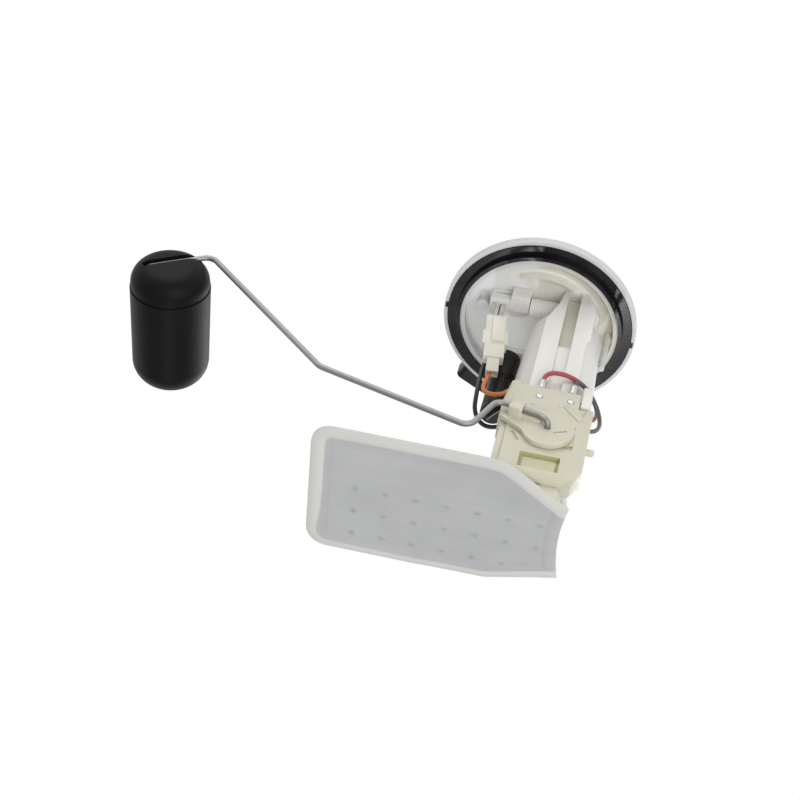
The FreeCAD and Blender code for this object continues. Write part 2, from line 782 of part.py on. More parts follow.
def make_cup():
    """The lower cup that carries the pump's inlet end."""
    body = new_body("lower_cup", "pump_x", "pump_y")
    turned(body, "Cup", corners(
        ("holder_bore - 0.1", "cup_top"), ("cup_radius", "cup_top"), ("cup_radius", "cup_low"),
        ("cup_eye", "cup_low"), ("cup_eye", "cup_low + cup_floor"), ("holder_bore - 0.1", "cup_low + cup_floor")))
    dressed(body, "CupRounding", "1.6", lambda edge: level_arc(edge, val("cup_radius"), val("cup_low")))
    return body


def make_isolators():
    upper = ring("UpperIsolator", "case_radius - 1.2", "pin_offset + 1.5", "-case_top + seat_gap",
                 "-cavity_top - seat_gap", "pump_x", "pump_y")
    single("upper_isolator", upper)
    lower = ring("LowerIsolator", "case_radius", "inlet_neck + 2.4", "cup_low + cup_floor + seat_gap",
                 "case_low - seat_gap", "pump_x", "pump_y")
    single("lower_isolator", lower)


def make_pump_case():
    body = new_body("pump_case", "pump_x", "pump_y")
    lip = "case_inner - lip_wide"
    turned(body, "Can", corners(
        ("case_radius", "-case_top"), ("case_radius", "case_low"), (lip, "case_low"),
        (lip, "case_low + case_wall"), ("case_inner", "case_low + case_wall"),
        ("case_inner", "-case_top - case_wall"), (lip, "-case_top - case_wall"), (lip, "-case_top")))
    dressed(body, "CrimpRounding", "0.6", lambda edge: level_arc(edge, val("case_radius"), val("case_low"))
            or level_arc(edge, val("case_radius"), -val("case_top")))
    return body


def make_outlet_cover():
    """The pump's upper end: brush guides below, the outlet nipple with its valve bore above."""
    body = new_body("outlet_cover", "pump_x", "pump_y")
    turned(body, "Disc", corners(
        ("bushing_radius + slip_gap", "cover_low"), ("stack_radius", "cover_low"), ("stack_radius", "cover_high"),
        ("case_inner - lip_wide - slip_gap", "cover_high"), ("case_inner - lip_wide - slip_gap", "-case_top"),
        ("nipple_radius", "-case_top"), ("nipple_radius", "nipple_top"), ("1.9", "nipple_top"),
        ("1.9", "nipple_top - 1.4"), ("nipple_bore", "nipple_top - 1.4"), ("nipple_bore", "seat_level"),
        ("seat_bore", "seat_level"), ("seat_bore", "cover_low + bushing_tall + 1"),
        ("bushing_radius + slip_gap", "cover_low + bushing_tall + 1")))
    for index, side in enumerate((1, -1)):
        near = f"{side} * (commutator_radius + 1.2)"
        far = f"{side} * (stack_radius - 1.0)"
        left, right = (near, far) if side > 0 else (far, near)
        prism(body, f"Guide{index}", "XY_Plane", [rectangle(left, "-brush_wide / 2 - 1.2", right, "brush_wide / 2 + 1.2")],
              "cover_low - 5", "cover_low")
        prism(body, f"Channel{index}", "XY_Plane",
              [rectangle(f"{left} - 1" if side > 0 else f"{left} + 1", "-brush_wide / 2 - slip_gap",
                         f"{right} - 1" if side > 0 else f"{right} + 1", "brush_wide / 2 + slip_gap")],
              "cover_low - 4", "cover_low - 4 + brush_wide + 2 * slip_gap", cut=True)
        prism(body, f"BladeHole{index}", "XY_Plane",
              [rectangle(f"{side} * pin_offset - 1.3", "-0.5", f"{side} * pin_offset + 1.3", "0.5")],
              "cover_low + 2", "-case_top", cut=True)
    return body


def make_pump_terminals():
    blades = []
    for index, side in enumerate((1, -1)):
        blades.append(solid("Box", f"PumpBlade{index}",
                            (f"pump_x + {side} * pin_offset - 1.2", "pump_y - 0.4", "cover_low + 2.1"),
                            Length="2.4", Width="0.8", Height="-case_top - cover_low + 1.4"))
    group("pump_terminals", blades)


def make_brushes():
    brushes = []
    springs = []
    base = "cover_low - 4 + slip_gap"
    for index, side in enumerate((1, -1)):
        inner = "commutator_radius + 0.3"
        x = f"pump_x + {inner}" if side > 0 else f"pump_x - ({inner}) - brush_long"
        brushes.append(solid("Box", f"Brush{index}", (x, "pump_y - brush_wide / 2", base),
                             Length="brush_long", Width="brush_wide", Height="brush_wide"))
        start = f"commutator_radius + 0.3 + brush_long + {val('spring_wire')} + 0.1"
        coil = spring(f"BrushCoil{index}", ("0", "0", "0"), "0.9", "stack_radius - commutator_radius - brush_long - 3.2", "0.9")
        coil.Placement = FreeCAD.Placement(Vector(), Rotation(BACK, 90 * side))
        bind_place(coil, f"pump_x + {side} * ({start})", "pump_y", f"{base} + brush_wide / 2")
        springs.append(coil)
    group("carbon_brushes", brushes)
    group("brush_springs", springs)


def make_bushings():
    single("upper_bushing", ring("UpperBushing", "bushing_radius", "shaft_radius + run_gap", "cover_low + 0.2",
                                 "cover_low + bushing_tall + 0.2", "pump_x", "pump_y"))
    single("lower_bushing", ring("LowerBushing", "bushing_radius", "shaft_radius + run_gap",
                                 "plate_start + seat_gap", "plate_start + bushing_tall", "pump_x", "pump_y"))


def make_inlet_cover():
    body = new_body("inlet_cover", "pump_x", "pump_y")
    turned(body, "Disc", corners(
        ("0", "inlet_high - 1.2"), ("2.2", "inlet_high - 1.2"), ("2.2", "inlet_high"),
        ("stack_radius", "inlet_high"), ("stack_radius", "inlet_low"),
        ("case_inner - lip_wide - slip_gap", "inlet_low"), ("case_inner - lip_wide - slip_gap", "case_low"),
        ("inlet_neck", "case_low"), ("inlet_neck", "inlet_end"), ("inlet_bore", "inlet_end"),
        ("inlet_bore", "inlet_low + 1"), ("0", "inlet_low + 1")))
    prism(body, "InletPort", "XY_Plane", [circle("impeller_radius - 2", "0", "1.3")], "case_low", "inlet_high", cut=True)
    return body


def make_chamber_plate():
    body = new_body("chamber_plate", "pump_x", "pump_y")
    turned(body, "Ring", corners(
        ("bushing_radius + slip_gap", "plate_start"), ("impeller_radius + 0.3", "plate_start"),
        ("impeller_radius + 0.3", "inlet_high + seat_gap"), ("stack_radius", "inlet_high + seat_gap"),
        ("stack_radius", "plate_high"), ("bushing_radius + slip_gap", "plate_high")))
    prism(body, "OutletPort", "XY_Plane", [circle("2 - impeller_radius", "0", "1.3")], "plate_start", "plate_high",
          cut=True)
    return body


def make_magnets():
    magnets = []
    for index in range(2):
        heading = f"{90 + 180 * index} - magnet_span / 2"
        shell = doc.addObject("Part::Cut", f"Magnet{index}")
        outer = solid("Cylinder", f"MagnetOuter{index}", ("pump_x", "pump_y", "magnet_low"),
                      Rotation(UP, val(heading)), Radius="stack_radius",
                      Height="magnet_high - magnet_low", Angle="magnet_span")
        inner = solid("Cylinder", f"MagnetInner{index}", ("pump_x", "pump_y", "magnet_low"),
                      Radius="magnet_inner", Height="magnet_high - magnet_low")
        shell.Base = outer
        shell.Tool = inner
        magnets.append(shell)
    group("field_magnets", magnets)


def make_rotor():
    shaft = solid("Cylinder", "rotor_shaft", ("pump_x", "pump_y", "shaft_low"), Radius="shaft_radius",
                  Height="shaft_high - shaft_low")
    single("rotor_shaft", shaft)

    impeller = new_body("impeller", "pump_x", "pump_y")
    turned(impeller, "Wheel", rectangle("shaft_radius + 0.02", "impeller_low", "impeller_radius", "impeller_high"))
    pocket = prism(impeller, "Vane", "XY_Plane",
                   [rectangle("impeller_radius - blade_deep", "-0.5", "impeller_radius - 0.5", "0.5")],
                   "impeller_low", "impeller_high", cut=True)
    polar(impeller, "Vanes", [pocket], "impeller_blades")

    core = new_body("armature_core", "pump_x", "pump_y")
    turned(core, "Stack", rectangle("shaft_radius + 0.02", "core_low", "core_radius", "core_high"))
    slot = prism(core, "Slot", "XY_Plane",
                 [corners(("core_radius - slot_deep", "-slot_wide"), ("core_radius - 1.2", "-slot_wide * 1.6"),
                          ("core_radius - 1.2", "-0.5"), ("core_radius + 1", "-0.5"), ("core_radius + 1", "0.5"),
                          ("core_radius - 1.2", "0.5"), ("core_radius - 1.2", "slot_wide * 1.6"),
                          ("core_radius - slot_deep", "slot_wide"))], "core_low", "core_high", cut=True)
    polar(core, "Slots", [slot], "core_slots")

    winding = new_body("armature_winding", "pump_x", "pump_y")
    inner = "core_radius - slot_deep + 0.15"
    turned(winding, "LowerTurns", rectangle("shaft_radius + 1.0", "core_low - coil_tall", "core_radius - 1.4",
                                            "core_low - 0.02"))
    turned(winding, "UpperTurns", rectangle("shaft_radius + 1.0", "core_high + 0.02", "core_radius - 1.4",
                                            "core_high + coil_tall"))
    bundle = prism(winding, "SlotTurns", "XY_Plane",
                   [corners((inner, "0.15 - slot_wide"), ("core_radius - 1.4", "0.3 - slot_wide * 1.6"),
                            ("core_radius - 1.4", "slot_wide * 1.6 - 0.3"), (inner, "slot_wide - 0.15"))],
                   "core_low - 1", "core_high + 1")
    polar(winding, "Bundles", [bundle], "core_slots")

    commutator = new_body("commutator", "pump_x", "pump_y")
    turned(commutator, "Barrel", corners(
        ("shaft_radius + 0.02", "commutator_low"), ("commutator_radius + 0.2", "commutator_low"),
        ("commutator_radius + 0.2", "commutator_low + 0.8"), ("commutator_radius", "commutator_low + 0.8"),
        ("commutator_radius", "commutator_high"), ("shaft_radius + 0.02", "commutator_high")))
    cut = prism(commutator, "Slit", "XY_Plane",
                [rectangle("commutator_radius - 0.8", "-0.2", "commutator_radius + 1", "0.2")],
                "commutator_low", "commutator_high", cut=True)
    polar(commutator, "Slits", [cut], "core_slots")


def make_check_valve():
    body = new_body("check_poppet", "pump_x", "pump_y")
    stem_top = "poppet_low + poppet_tall"
    turned(body, "Poppet", corners(
        ("0", "poppet_low"), ("poppet_radius", "poppet_low"), ("poppet_radius", "poppet_low + poppet_thick / 2"),
        ("poppet_stem", "poppet_low + poppet_thick"), ("poppet_stem", stem_top), ("0", stem_top)))
    start = "poppet_low + poppet_thick + spring_wire + 0.05"
    coil = spring("check_spring", ("pump_x", "pump_y", start), "1.9",
                  f"nipple_top - 1.4 - spring_wire - 0.05 - ({start})", "3.8")
    single("check_spring", coil)


def make_regulator():
    """The black pressure regulator that hangs from the holder's arm."""
    x, y = "regulator_x", "regulator_y"
    joint = "collar_low - lid_tall"
    housing = new_body("regulator_body", x, y)
    turned(housing, "Body", corners(
        ("1.1", "-regulator_low"), ("regulator_radius", "-regulator_low"), ("regulator_radius", "-collar_low - 1.2"),
        ("collar_radius", "-collar_low"), ("collar_radius", f"-({joint})"), ("collar_radius - 1.4", f"-({joint})"),
        ("collar_radius - 1.4", "-collar_low + 1.4"), ("nozzle_seat", "-collar_low + 1.4"),
        ("nozzle_seat", "-collar_low + 3.4"), ("1.1", "-collar_low + 3.4")))
    dressed(housing, "FootRounding", "1.2",
            lambda edge: level_arc(edge, val("regulator_radius"), -val("regulator_low")))
    rod(housing, "FuelPort", "0.9", "regulator_radius + 1", ("0", "0", "-collar_low - 8"), Rotation(BACK, 90), cut=True)
    lid = new_body("regulator_cover", x, y)
    seat = f"-({joint}) + diaphragm_thick + seat_gap * 2"
    turned(lid, "Cover", corners(
        ("0", "-arm_low - seat_gap"), ("collar_radius", "-arm_low - seat_gap"), ("collar_radius", seat),
        ("collar_radius - 1.4", seat), ("collar_radius - 1.4", "-arm_low - 1.6"), ("0", "-arm_low - 1.6")))
    dressed(lid, "TopRounding", "0.9", lambda edge: level_arc(edge, val("collar_radius"), val("-arm_low - seat_gap")))
    skin = solid("Cylinder", "regulator_diaphragm", (x, y, f"-({joint}) + seat_gap"),
                 Radius="collar_radius - 0.1", Height="diaphragm_thick")
    single("regulator_diaphragm", skin)
    poppet = new_body("regulator_poppet", x, y)
    top = f"-({joint}) - 0.02"
    turned(poppet, "Poppet", corners(
        ("0", "-collar_low + 3.4 + seat_gap"), ("nozzle_seat", "-collar_low + 3.4 + seat_gap"),
        ("nozzle_seat", "-collar_low + 4.4"), ("1.0", "-collar_low + 4.4"), ("1.0", f"{top} - 1"), ("3.0", f"{top} - 1"),
        ("3.0", top), ("0", top)))
    start = f"-({joint}) + seat_gap + diaphragm_thick + spring_wire + 0.1"
    coil = spring("regulator_spring", (x, y, start), "3.0", f"-arm_low - 1.6 - spring_wire - 0.1 - ({start})", "1.9")
    single("regulator_spring", coil)


def bag_outline(level, inset):
    """The strainer's outline: rounded far corners, one bevelled corner and a hollow end."""
    left, right = val("bag_left"), val("bag_right")
    front, back = val("bag_front"), val("bag_back")
    notch_y = val("bag_notch_y")
    tip_back = back - 8.4
    ease_x = right - 29.2
    plain = [
        (left, front), (val("bag_notch_x"), front), (right - 1.5, notch_y), (right, tip_back),
        (ease_x, back - 1.2), (ease_x - 30, back), (left, back),
    ]
    count = len(plain)
    sides = []
    for (x, y), (next_x, next_y) in zip(plain, plain[1:] + plain[:1]):
        length = math.hypot(next_x - x, next_y - y)
        across = ((y - next_y) / length, (next_x - x) / length)
        sides.append((across, across[0] * x + across[1] * y + inset))
    spots = []
    for i in range(count):
        (a, b), c = sides[i - 1]
        (d, e), f = sides[i]
        spread = a * e - b * d
        spots.append(Vector((c * e - b * f) / spread, (a * f - c * d) / spread, level))
    radius = val("bag_corner") - inset
    far = radius * (1 - math.sqrt(0.5))
    low, high = spots[0], spots[-1]
    middle = (spots[2] + spots[3]) / 2 - Vector(val("bag_hollow"), 0, 0)
    edges = [Part.LineSegment(low + Vector(radius, 0, 0), spots[1]), Part.LineSegment(spots[1], spots[2]),
             Part.Arc(spots[2], middle, spots[3]), Part.LineSegment(spots[3], spots[4]),
             Part.LineSegment(spots[4], spots[5]), Part.LineSegment(spots[5], high + Vector(radius, 0, 0)),
             Part.Arc(high + Vector(radius, 0, 0), high + Vector(far, -far, 0), high - Vector(0, radius, 0)),
             Part.LineSegment(high - Vector(0, radius, 0), low + Vector(0, radius, 0)),
             Part.Arc(low + Vector(0, radius, 0), low + Vector(far, far, 0), low + Vector(radius, 0, 0))]
    return Part.Wire([edge.toShape() for edge in edges])


def bag_pillow(skin):
    """The strainer as a pillow: an edge band that slopes to a flat floor and roof."""
    seam = val("seam_level")
    half = val("bag_tall") / 2 - skin
    edge = val("border_edge") / 2 - (0.2 if skin else 0)
    rim_in = bag_outline(seam, skin * 2)
    low = bag_outline(seam - half, val("border_wide") + skin)
    high = bag_outline(seam + half, val("roof_border") + skin)
    rim_low = rim_in.translated(Vector(0, 0, -edge))
    rim_high = rim_in.translated(Vector(0, 0, edge))
    band = Part.makeLoft([rim_low, rim_high], True, True)
    floor = Part.makeLoft([rim_low, low], True, True)
    roof = Part.makeLoft([rim_high, high], True, True)
    return band.fuse([floor, roof]).removeSplitter()


def make_strainer():
    outer = bag_pillow(0)
    inner = bag_pillow(val("mesh_thick"))
    eye = Part.makeCylinder(val("neck_wall") + 0.1, 8, at("pump_x", "pump_y", "bag_top - 3"), UP)
    made("strainer_bag", outer.cut([inner, eye]))

    neck = new_body("strainer_neck", "pump_x", "pump_y")
    shelf = "bag_top - mesh_thick - seat_gap"
    turned(neck, "Neck", corners(
        ("inlet_neck + 0.2", "cup_low - seat_gap"), ("neck_wall", "cup_low - seat_gap"), ("neck_wall", shelf),
        ("neck_flange", shelf), ("neck_flange", f"{shelf} - 1.2"), ("neck_wall - 1.2", f"{shelf} - 1.2"),
        ("neck_wall - 1.2", "inlet_end + 1.4"), ("inlet_neck + 0.2", "inlet_end + 1.4")))

    nut = new_body("strainer_clip", "pump_x", "pump_y")
    turned(nut, "Washer", rectangle("inlet_neck + 0.02", "inlet_end + 0.7", "neck_wall - 1.4", "inlet_end + 1.3"))
    slit = prism(nut, "Slit", "XY_Plane", [rectangle("inlet_neck - 1", "-0.4", "inlet_neck + 1.6", "0.4")],
                 "inlet_end", "inlet_end + 2", cut=True)
    polar(nut, "Slits", [slit], "6")

    spacer = new_body("strainer_spacer")
    floor = "bag_floor + mesh_thick + seat_gap"
    reach = "pin_step * (pin_columns - 1)"
    rows = ["pin_first_y", "pin_first_y + row_step", "pin_first_y + 2 * row_step"]
    bar = "spacer_bar / 2"
    last = f"pin_first_x + {reach} + pin_step"
    prism(spacer, "Spine", "XY_Plane", [rectangle(f"pin_first_x - {bar}", f"{rows[1]} - {bar}",
                                                  f"{last} + {bar}", f"{rows[1]} + {bar}")],
          f"{floor} + 1.6", f"{floor} + 3.0")
    prism(spacer, "LastRib", "XY_Plane", [rectangle(f"{last} - {bar}", f"{rows[0]} - {bar}",
                                                    f"{last} + {bar}", f"{rows[1]} + {bar}")],
          f"{floor} + 1.6", f"{floor} + 3.0")
    prism(spacer, "LastPins", "XY_Plane", [circle(last, row, "spacer_pin") for row in rows[:2]],
          floor, f"{floor} + 3.0")
    rib = prism(spacer, "Rib", "XY_Plane", [rectangle(f"pin_first_x - {bar}", f"{rows[0]} - {bar}",
                                                      f"pin_first_x + {bar}", f"{rows[2]} + {bar}")],
                f"{floor} + 1.6", f"{floor} + 3.0")
    pins = prism(spacer, "Pins", "XY_Plane", [circle("pin_first_x", row, "spacer_pin") for row in rows],
                 floor, f"{floor} + 3.0")
    pattern = spacer.newObject("PartDesign::LinearPattern", "Columns")
    pattern.Originals = [rib, pins]
    axis = [item for item in spacer.Origin.OriginFeatures if item.Role == "X_Axis"][0]
    pattern.Direction = (axis, [""])
    pattern.setExpression("Length", bound(reach))
    pattern.setExpression("Occurrences", bound("pin_columns"))
    spacer.Tip = pattern
    doc.recompute()


def make_sender_base():
    body = new_body("sender_base")
    prism(body, "Plate", "XZ_Plane", [corners(
        ("base_left", "base_low"), ("base_right - 2.6", "base_low"), ("base_right", "base_low + 3.6"),
        ("base_right", "shoulder_top"), ("notch_left + 3.4", "shoulder_top"), ("notch_left + 2.2", "notch_low"),
        ("notch_left", "notch_low + 4"), ("notch_left", "base_top"), ("base_left + 5", "base_top"),
        ("base_left + 5", "base_top - 1.6"), ("base_left", "base_top - 1.6"))],
        "face_y", "-base_back")
    prism(body, "HolderSaddle", "XY_Plane", [circle("pump_x", "pump_y", "holder_radius + free_gap")],
          "base_low - 1", "base_top + 1", cut=True)
    dressed(body, "SideRounding", "base_rounding", lambda edge: upright(edge)
            and edge.BoundBox.YMax < val("face_y") + 0.01
            and (edge.BoundBox.XMin > val("base_right") - 0.1 or edge.BoundBox.XMax < val("base_left") + 0.1))
    prism(body, "Window", "XZ_Plane", [rectangle("window_left", "window_low", "window_right", "window_top")],
          "face_y", "face_y + window_deep", cut=True)
    prism(body, "CardPocket", "XZ_Plane",
          [rectangle("pivot_x - card_long / 2 - slip_gap", "pivot_z - card_drop - card_tall / 2 - slip_gap",
                     "pivot_x + card_long / 2 + slip_gap", "pivot_z - card_drop + card_tall / 2 + slip_gap")],
          "face_y", "face_y + card_thick + slip_gap", cut=True)
    prism(body, "PivotBore", "XZ_Plane", [circle("pivot_x", "pivot_z", "spindle_radius + run_gap")],
          "face_y", "face_y + 4.5", cut=True)
    for index, x in enumerate(("rivet_left", "rivet_right")):
        prism(body, f"RivetHole{index}", "XZ_Plane", [circle(x, "rivet_z", "rivet_radius + slip_gap")],
              "face_y", "face_y + 1.2", cut=True)
        prism(body, f"CrimpSlot{index}", "XY_Plane",
              [rectangle(f"{x} - 1.1", "face_y + 1.4", f"{x} + 1.1", "face_y + 2.2")],
              "rivet_z + 1", "base_top", cut=True)
    for index, (x, y) in enumerate((("lead_hole_x", "orange_hole_y"), ("lead_hole_x", "amber_hole_y"))):
        prism(body, f"LeadHole{index}", "XY_Plane", [circle(x, y, "lead_radius + 0.15")],
              "base_top - 6", "base_top - 1.6", cut=True)
    rod(body, "Peg", "peg_radius", "peg_long + 1", ("base_right - 1", "peg_y", "peg_z"), Rotation(BACK, 90))
    return body


def make_sender_metal():
    heads = []
    crimps = []
    for index, x in enumerate(("rivet_left", "rivet_right")):
        heads.append(solid("Cylinder", f"Rivet{index}", (x, "face_y + 1.1", "rivet_z"), Rotation(ACROSS, 90),
                           Radius="rivet_radius", Height="1.5"))
        barrel = solid("Cylinder", f"Barrel{index}", (x, "face_y + 1.8", "base_top + 0.4"),
                       Radius="crimp_radius", Height="crimp_long")
        tongue = solid("Box", f"Tongue{index}", (f"{x} - 1", "face_y + 1.5", "rivet_z + 1.2"),
                       Length="2", Width="0.6", Height="base_top - rivet_z")
        crimp = doc.addObject("Part::Fuse", f"Crimp{index}")
        crimp.Base = barrel
        crimp.Tool = tongue
        crimps.append(crimp)
    group("sender_rivets", heads)
    group("crimp_terminals", crimps)
    card = solid("Box", "resistor_card",
                 ("pivot_x - card_long / 2", "face_y + seat_gap", "pivot_z - card_drop - card_tall / 2"),
                 Length="card_long", Width="card_thick", Height="card_tall")
    single("resistor_card", card)


def make_lever():
    """The round lever with its spindle, and the strap that holds the wire."""
    tilt = Rotation(BACK, val("lever_tilt"))
    body = new_body("float_lever", "pivot_x", "0", "pivot_z", tilt)
    prism(body, "Disc", "XZ_Plane", [circle("0", "0", "lever_radius")], "lever_face", "lever_back")
    prism(body, "Arm", "XZ_Plane", [corners(
        ("0", "-lever_radius + 2"), ("-lever_reach", "-lever_tip + wire_rise"),
        ("-lever_reach", "lever_tip + wire_rise"), ("0", "lever_radius - 1"))], "lever_face", "lever_back")
    prism(body, "Spindle", "XZ_Plane", [circle("0", "0", "spindle_radius")], "lever_back", "lever_back + spindle_long")
    prism(body, "Strap", "XZ_Plane",
          [rectangle("-strap_start - strap_long", "wire_rise - wire_radius - 2", "-strap_start",
                     "wire_rise + wire_radius + 2")], "wire_plane - wire_radius - 1.2", "lever_face")
    rod(body, "StrapBore", "wire_radius + seat_gap", "strap_long + 2",
        ("-strap_start - strap_long - 1", "wire_plane", "wire_rise"), Rotation(BACK, 90), cut=True)
    prism(body, "WireHole", "XZ_Plane", [circle("0", "0", "wire_radius + seat_gap")], "lever_face", "lever_face + 5",
          cut=True)
    rod(body, "HoleMouth", "wire_radius + seat_gap", "wire_radius", ("0", "lever_face + wire_radius", "0"),
        Rotation(ACROSS, 90), cut=True, tip="2 * wire_radius")
    prism(body, "WiperPocket", "XZ_Plane", [rectangle("-4", "-lever_radius + 1.6", "4", "-spindle_radius - 1")],
          "lever_back - 0.9", "lever_back", cut=True)
    wiper = new_body("wiper_contact", "pivot_x", "0", "pivot_z", tilt)
    prism(wiper, "Leaf", "XZ_Plane", [rectangle("-3.4", "-lever_radius + 2.2", "3.4", "-spindle_radius - 1.4")],
          "lever_back - 0.85", "lever_back - 0.55")
    prism(wiper, "Finger", "XZ_Plane", [rectangle("-0.8", "-lever_radius + 3.4", "0.8", "-spindle_radius - 2.4")],
          "lever_back - 0.55", "lever_back - 0.1")


def wire_points():
    """The float arm's route: lever hole, strap, the three bends of the arm, the float's groove and hole."""
    tilt = math.radians(val("lever_tilt"))
    pivot = at("pivot_x", "wire_plane", "pivot_z")
    rise = val("wire_rise")

    def on_lever(along):
        return pivot + Vector(along * math.cos(tilt) + rise * math.sin(tilt), 0,
                              -along * math.sin(tilt) + rise * math.cos(tilt))

    return [
        Vector(pivot.x, val("lever_face") + 4.2, pivot.z),
        pivot,
        on_lever(-4.8),
        on_lever(-23.2),
        at("pivot_x - elbow_run", "wire_plane", "pivot_z - elbow_drop"),
        at("pivot_x - knee_run", "wire_plane", "pivot_z + knee_rise"),
        at("float_x + groove_ahead", "wire_plane", "float_z + groove_rise"),
        at("float_x - groove_behind", "wire_plane", "float_z - groove_fall"),
        at("float_x - groove_behind", "float_seam + 4", "float_z - groove_fall"),
    ]


def make_wire():
    points = wire_points()
    radii = [2.2, 3.0, 4.5, 5.0, 7.0, 5.0, 2.2]
    made("float_wire", piped(points, radii, val("wire_radius")))


def make_float():
    """The hollow float: a cup with a rounded end and a domed cap, both turned about Y."""
    body = new_body("float_body", "float_x", "0", "float_z")
    turned(body, "Cup", corners(
        ("0", "float_back"), ("float_end_radius", "float_back"), ("float_radius", "float_seam + seat_gap"),
        ("0", "float_seam + seat_gap")), role="XY_Plane")
    dressed(body, "EndRounding", "float_round", lambda edge: edge.BoundBox.YMin > val("float_back") - 0.1)
    cup = body.Tip
    faces = cup.Shape.Faces
    mouth = min(range(len(faces)), key=lambda i: faces[i].CenterOfMass.y)
    shell = body.newObject("PartDesign::Thickness", "Hollow")
    shell.Base = (cup, [f"Face{mouth + 1}"])
    shell.setExpression("Value", bound("float_wall"))
    shell.Reversed = True
    checked(body, shell, True)
    cap = new_body("float_cap", "float_x", "0", "float_z")
    turned(cap, "Dome", corners(
        ("0", "float_front"), ("float_radius - cap_step", "float_front"), ("float_radius - cap_step", "float_seam"),
        ("float_radius - float_wall - slip_gap", "float_seam"),
        ("float_radius - float_wall - slip_gap", "float_seam + 3"), ("0", "float_seam + 3")),
        role="XY_Plane")
    dressed(cap, "DomeRounding", "cap_round", lambda edge: edge.BoundBox.YMax < val("float_front") + 0.1)
    points = wire_points()
    start, end = points[6], points[7]
    run = (end - start).normalize()
    heading = math.degrees(math.atan2(run.z, run.x))
    groove = cap.newObject("PartDesign::SubtractiveBox", "WireGroove")
    side = Vector(run.z, 0, -run.x)
    half = val("groove_wide") / 2
    corner = start + side * half - at("float_x", "0", "float_z")
    groove.Placement = FreeCAD.Placement(Vector(corner.x, val("float_front") - 2, corner.z),
                                         Rotation(BACK, -heading))
    groove.Length = (end - start).Length + half
    groove.setExpression("Width", bound("wire_plane + wire_radius + 0.1 - float_front + 2"))
    groove.setExpression("Height", bound("groove_wide"))
    checked(cap, groove, True)
    hole = cap.newObject("PartDesign::SubtractiveCylinder", "WireHole")
    hole.Placement = FreeCAD.Placement(Vector(end.x - val("float_x"), val("float_seam + 4.5"), end.z - val("float_z")),
                                       Rotation(ACROSS, 90))
    hole.setExpression("Radius", bound("wire_radius + seat_gap"))
    hole.setExpression("Height", bound("float_seam + 4.5 - float_front"))
    checked(cap, hole, True)
    mouth = cap.newObject("PartDesign::SubtractiveCone", "HoleMouth")
    mouth.Placement = FreeCAD.Placement(
        Vector(end.x - val("float_x"), val("wire_plane + wire_radius + 0.1 + wire_radius"), end.z - val("float_z")),
        Rotation(ACROSS, 90))
    mouth.setExpression("Radius1", bound("wire_radius + seat_gap"))
    mouth.setExpression("Radius2", bound("2 * wire_radius"))
    mouth.setExpression("Height", bound("wire_radius"))
    checked(cap, mouth, True)


# Free points of the leads between the pieces that hold their ends
LEAD_ROUTES = {
    "lead_orange": [(-16.8, -1.0, -50.0), (-17.0, 0.2, -55.8), (-12.4, -1.0, -58.8), (-7.4, -4.4, -61.2),
                    (-5.6, -10.6, -67.0), (-2.4, -17.8, -73.0)],
    "lead_black": [(-18.0, -9.0, -5.0), (-18.2, -6.4, -8.4), (-18.5, -4.0, -13.6), (-19.0, -1.4, -21.0),
                   (-19.6, 1.4, -31.0), (-20.0, 3.8, -42.0), (-19.8, 6.6, -51.6), (-19.2, 11.4, -57.6),
                   (-14.8, 15.8, -60.6), (-8.4, 16.0, -60.4), (-3.6, 12.0, -59.4), (-3.4, 6.2, -59.0)],
    "lead_amber": [(-5.3, -3.9, -63.4), (-5.0, -7.0, -67.6), (-3.8, -12.0, -72.6)],
    "lead_red": [(13.8, -23.6, -63.8), (21.6, -22.4, -63.6), (28.6, -18.0, -64.4), (33.0, -11.0, -64.6),
                 (34.6, -3.0, -61.4), (33.4, 5.0, -55.6), (30.4, 11.9, -48.4), (26.8, 16.3, -41.8)],
    "lead_grey": [(26.6, -21.8, -66.6), (31.8, -15.8, -67.8), (35.0, -9.2, -68.0), (36.6, -1.6, -66.0),
                  (35.6, 6.0, -61.2), (32.4, 12.8, -54.4), (28.4, 17.6, -47.2), (23.8, 19.6, -42.6)],
}


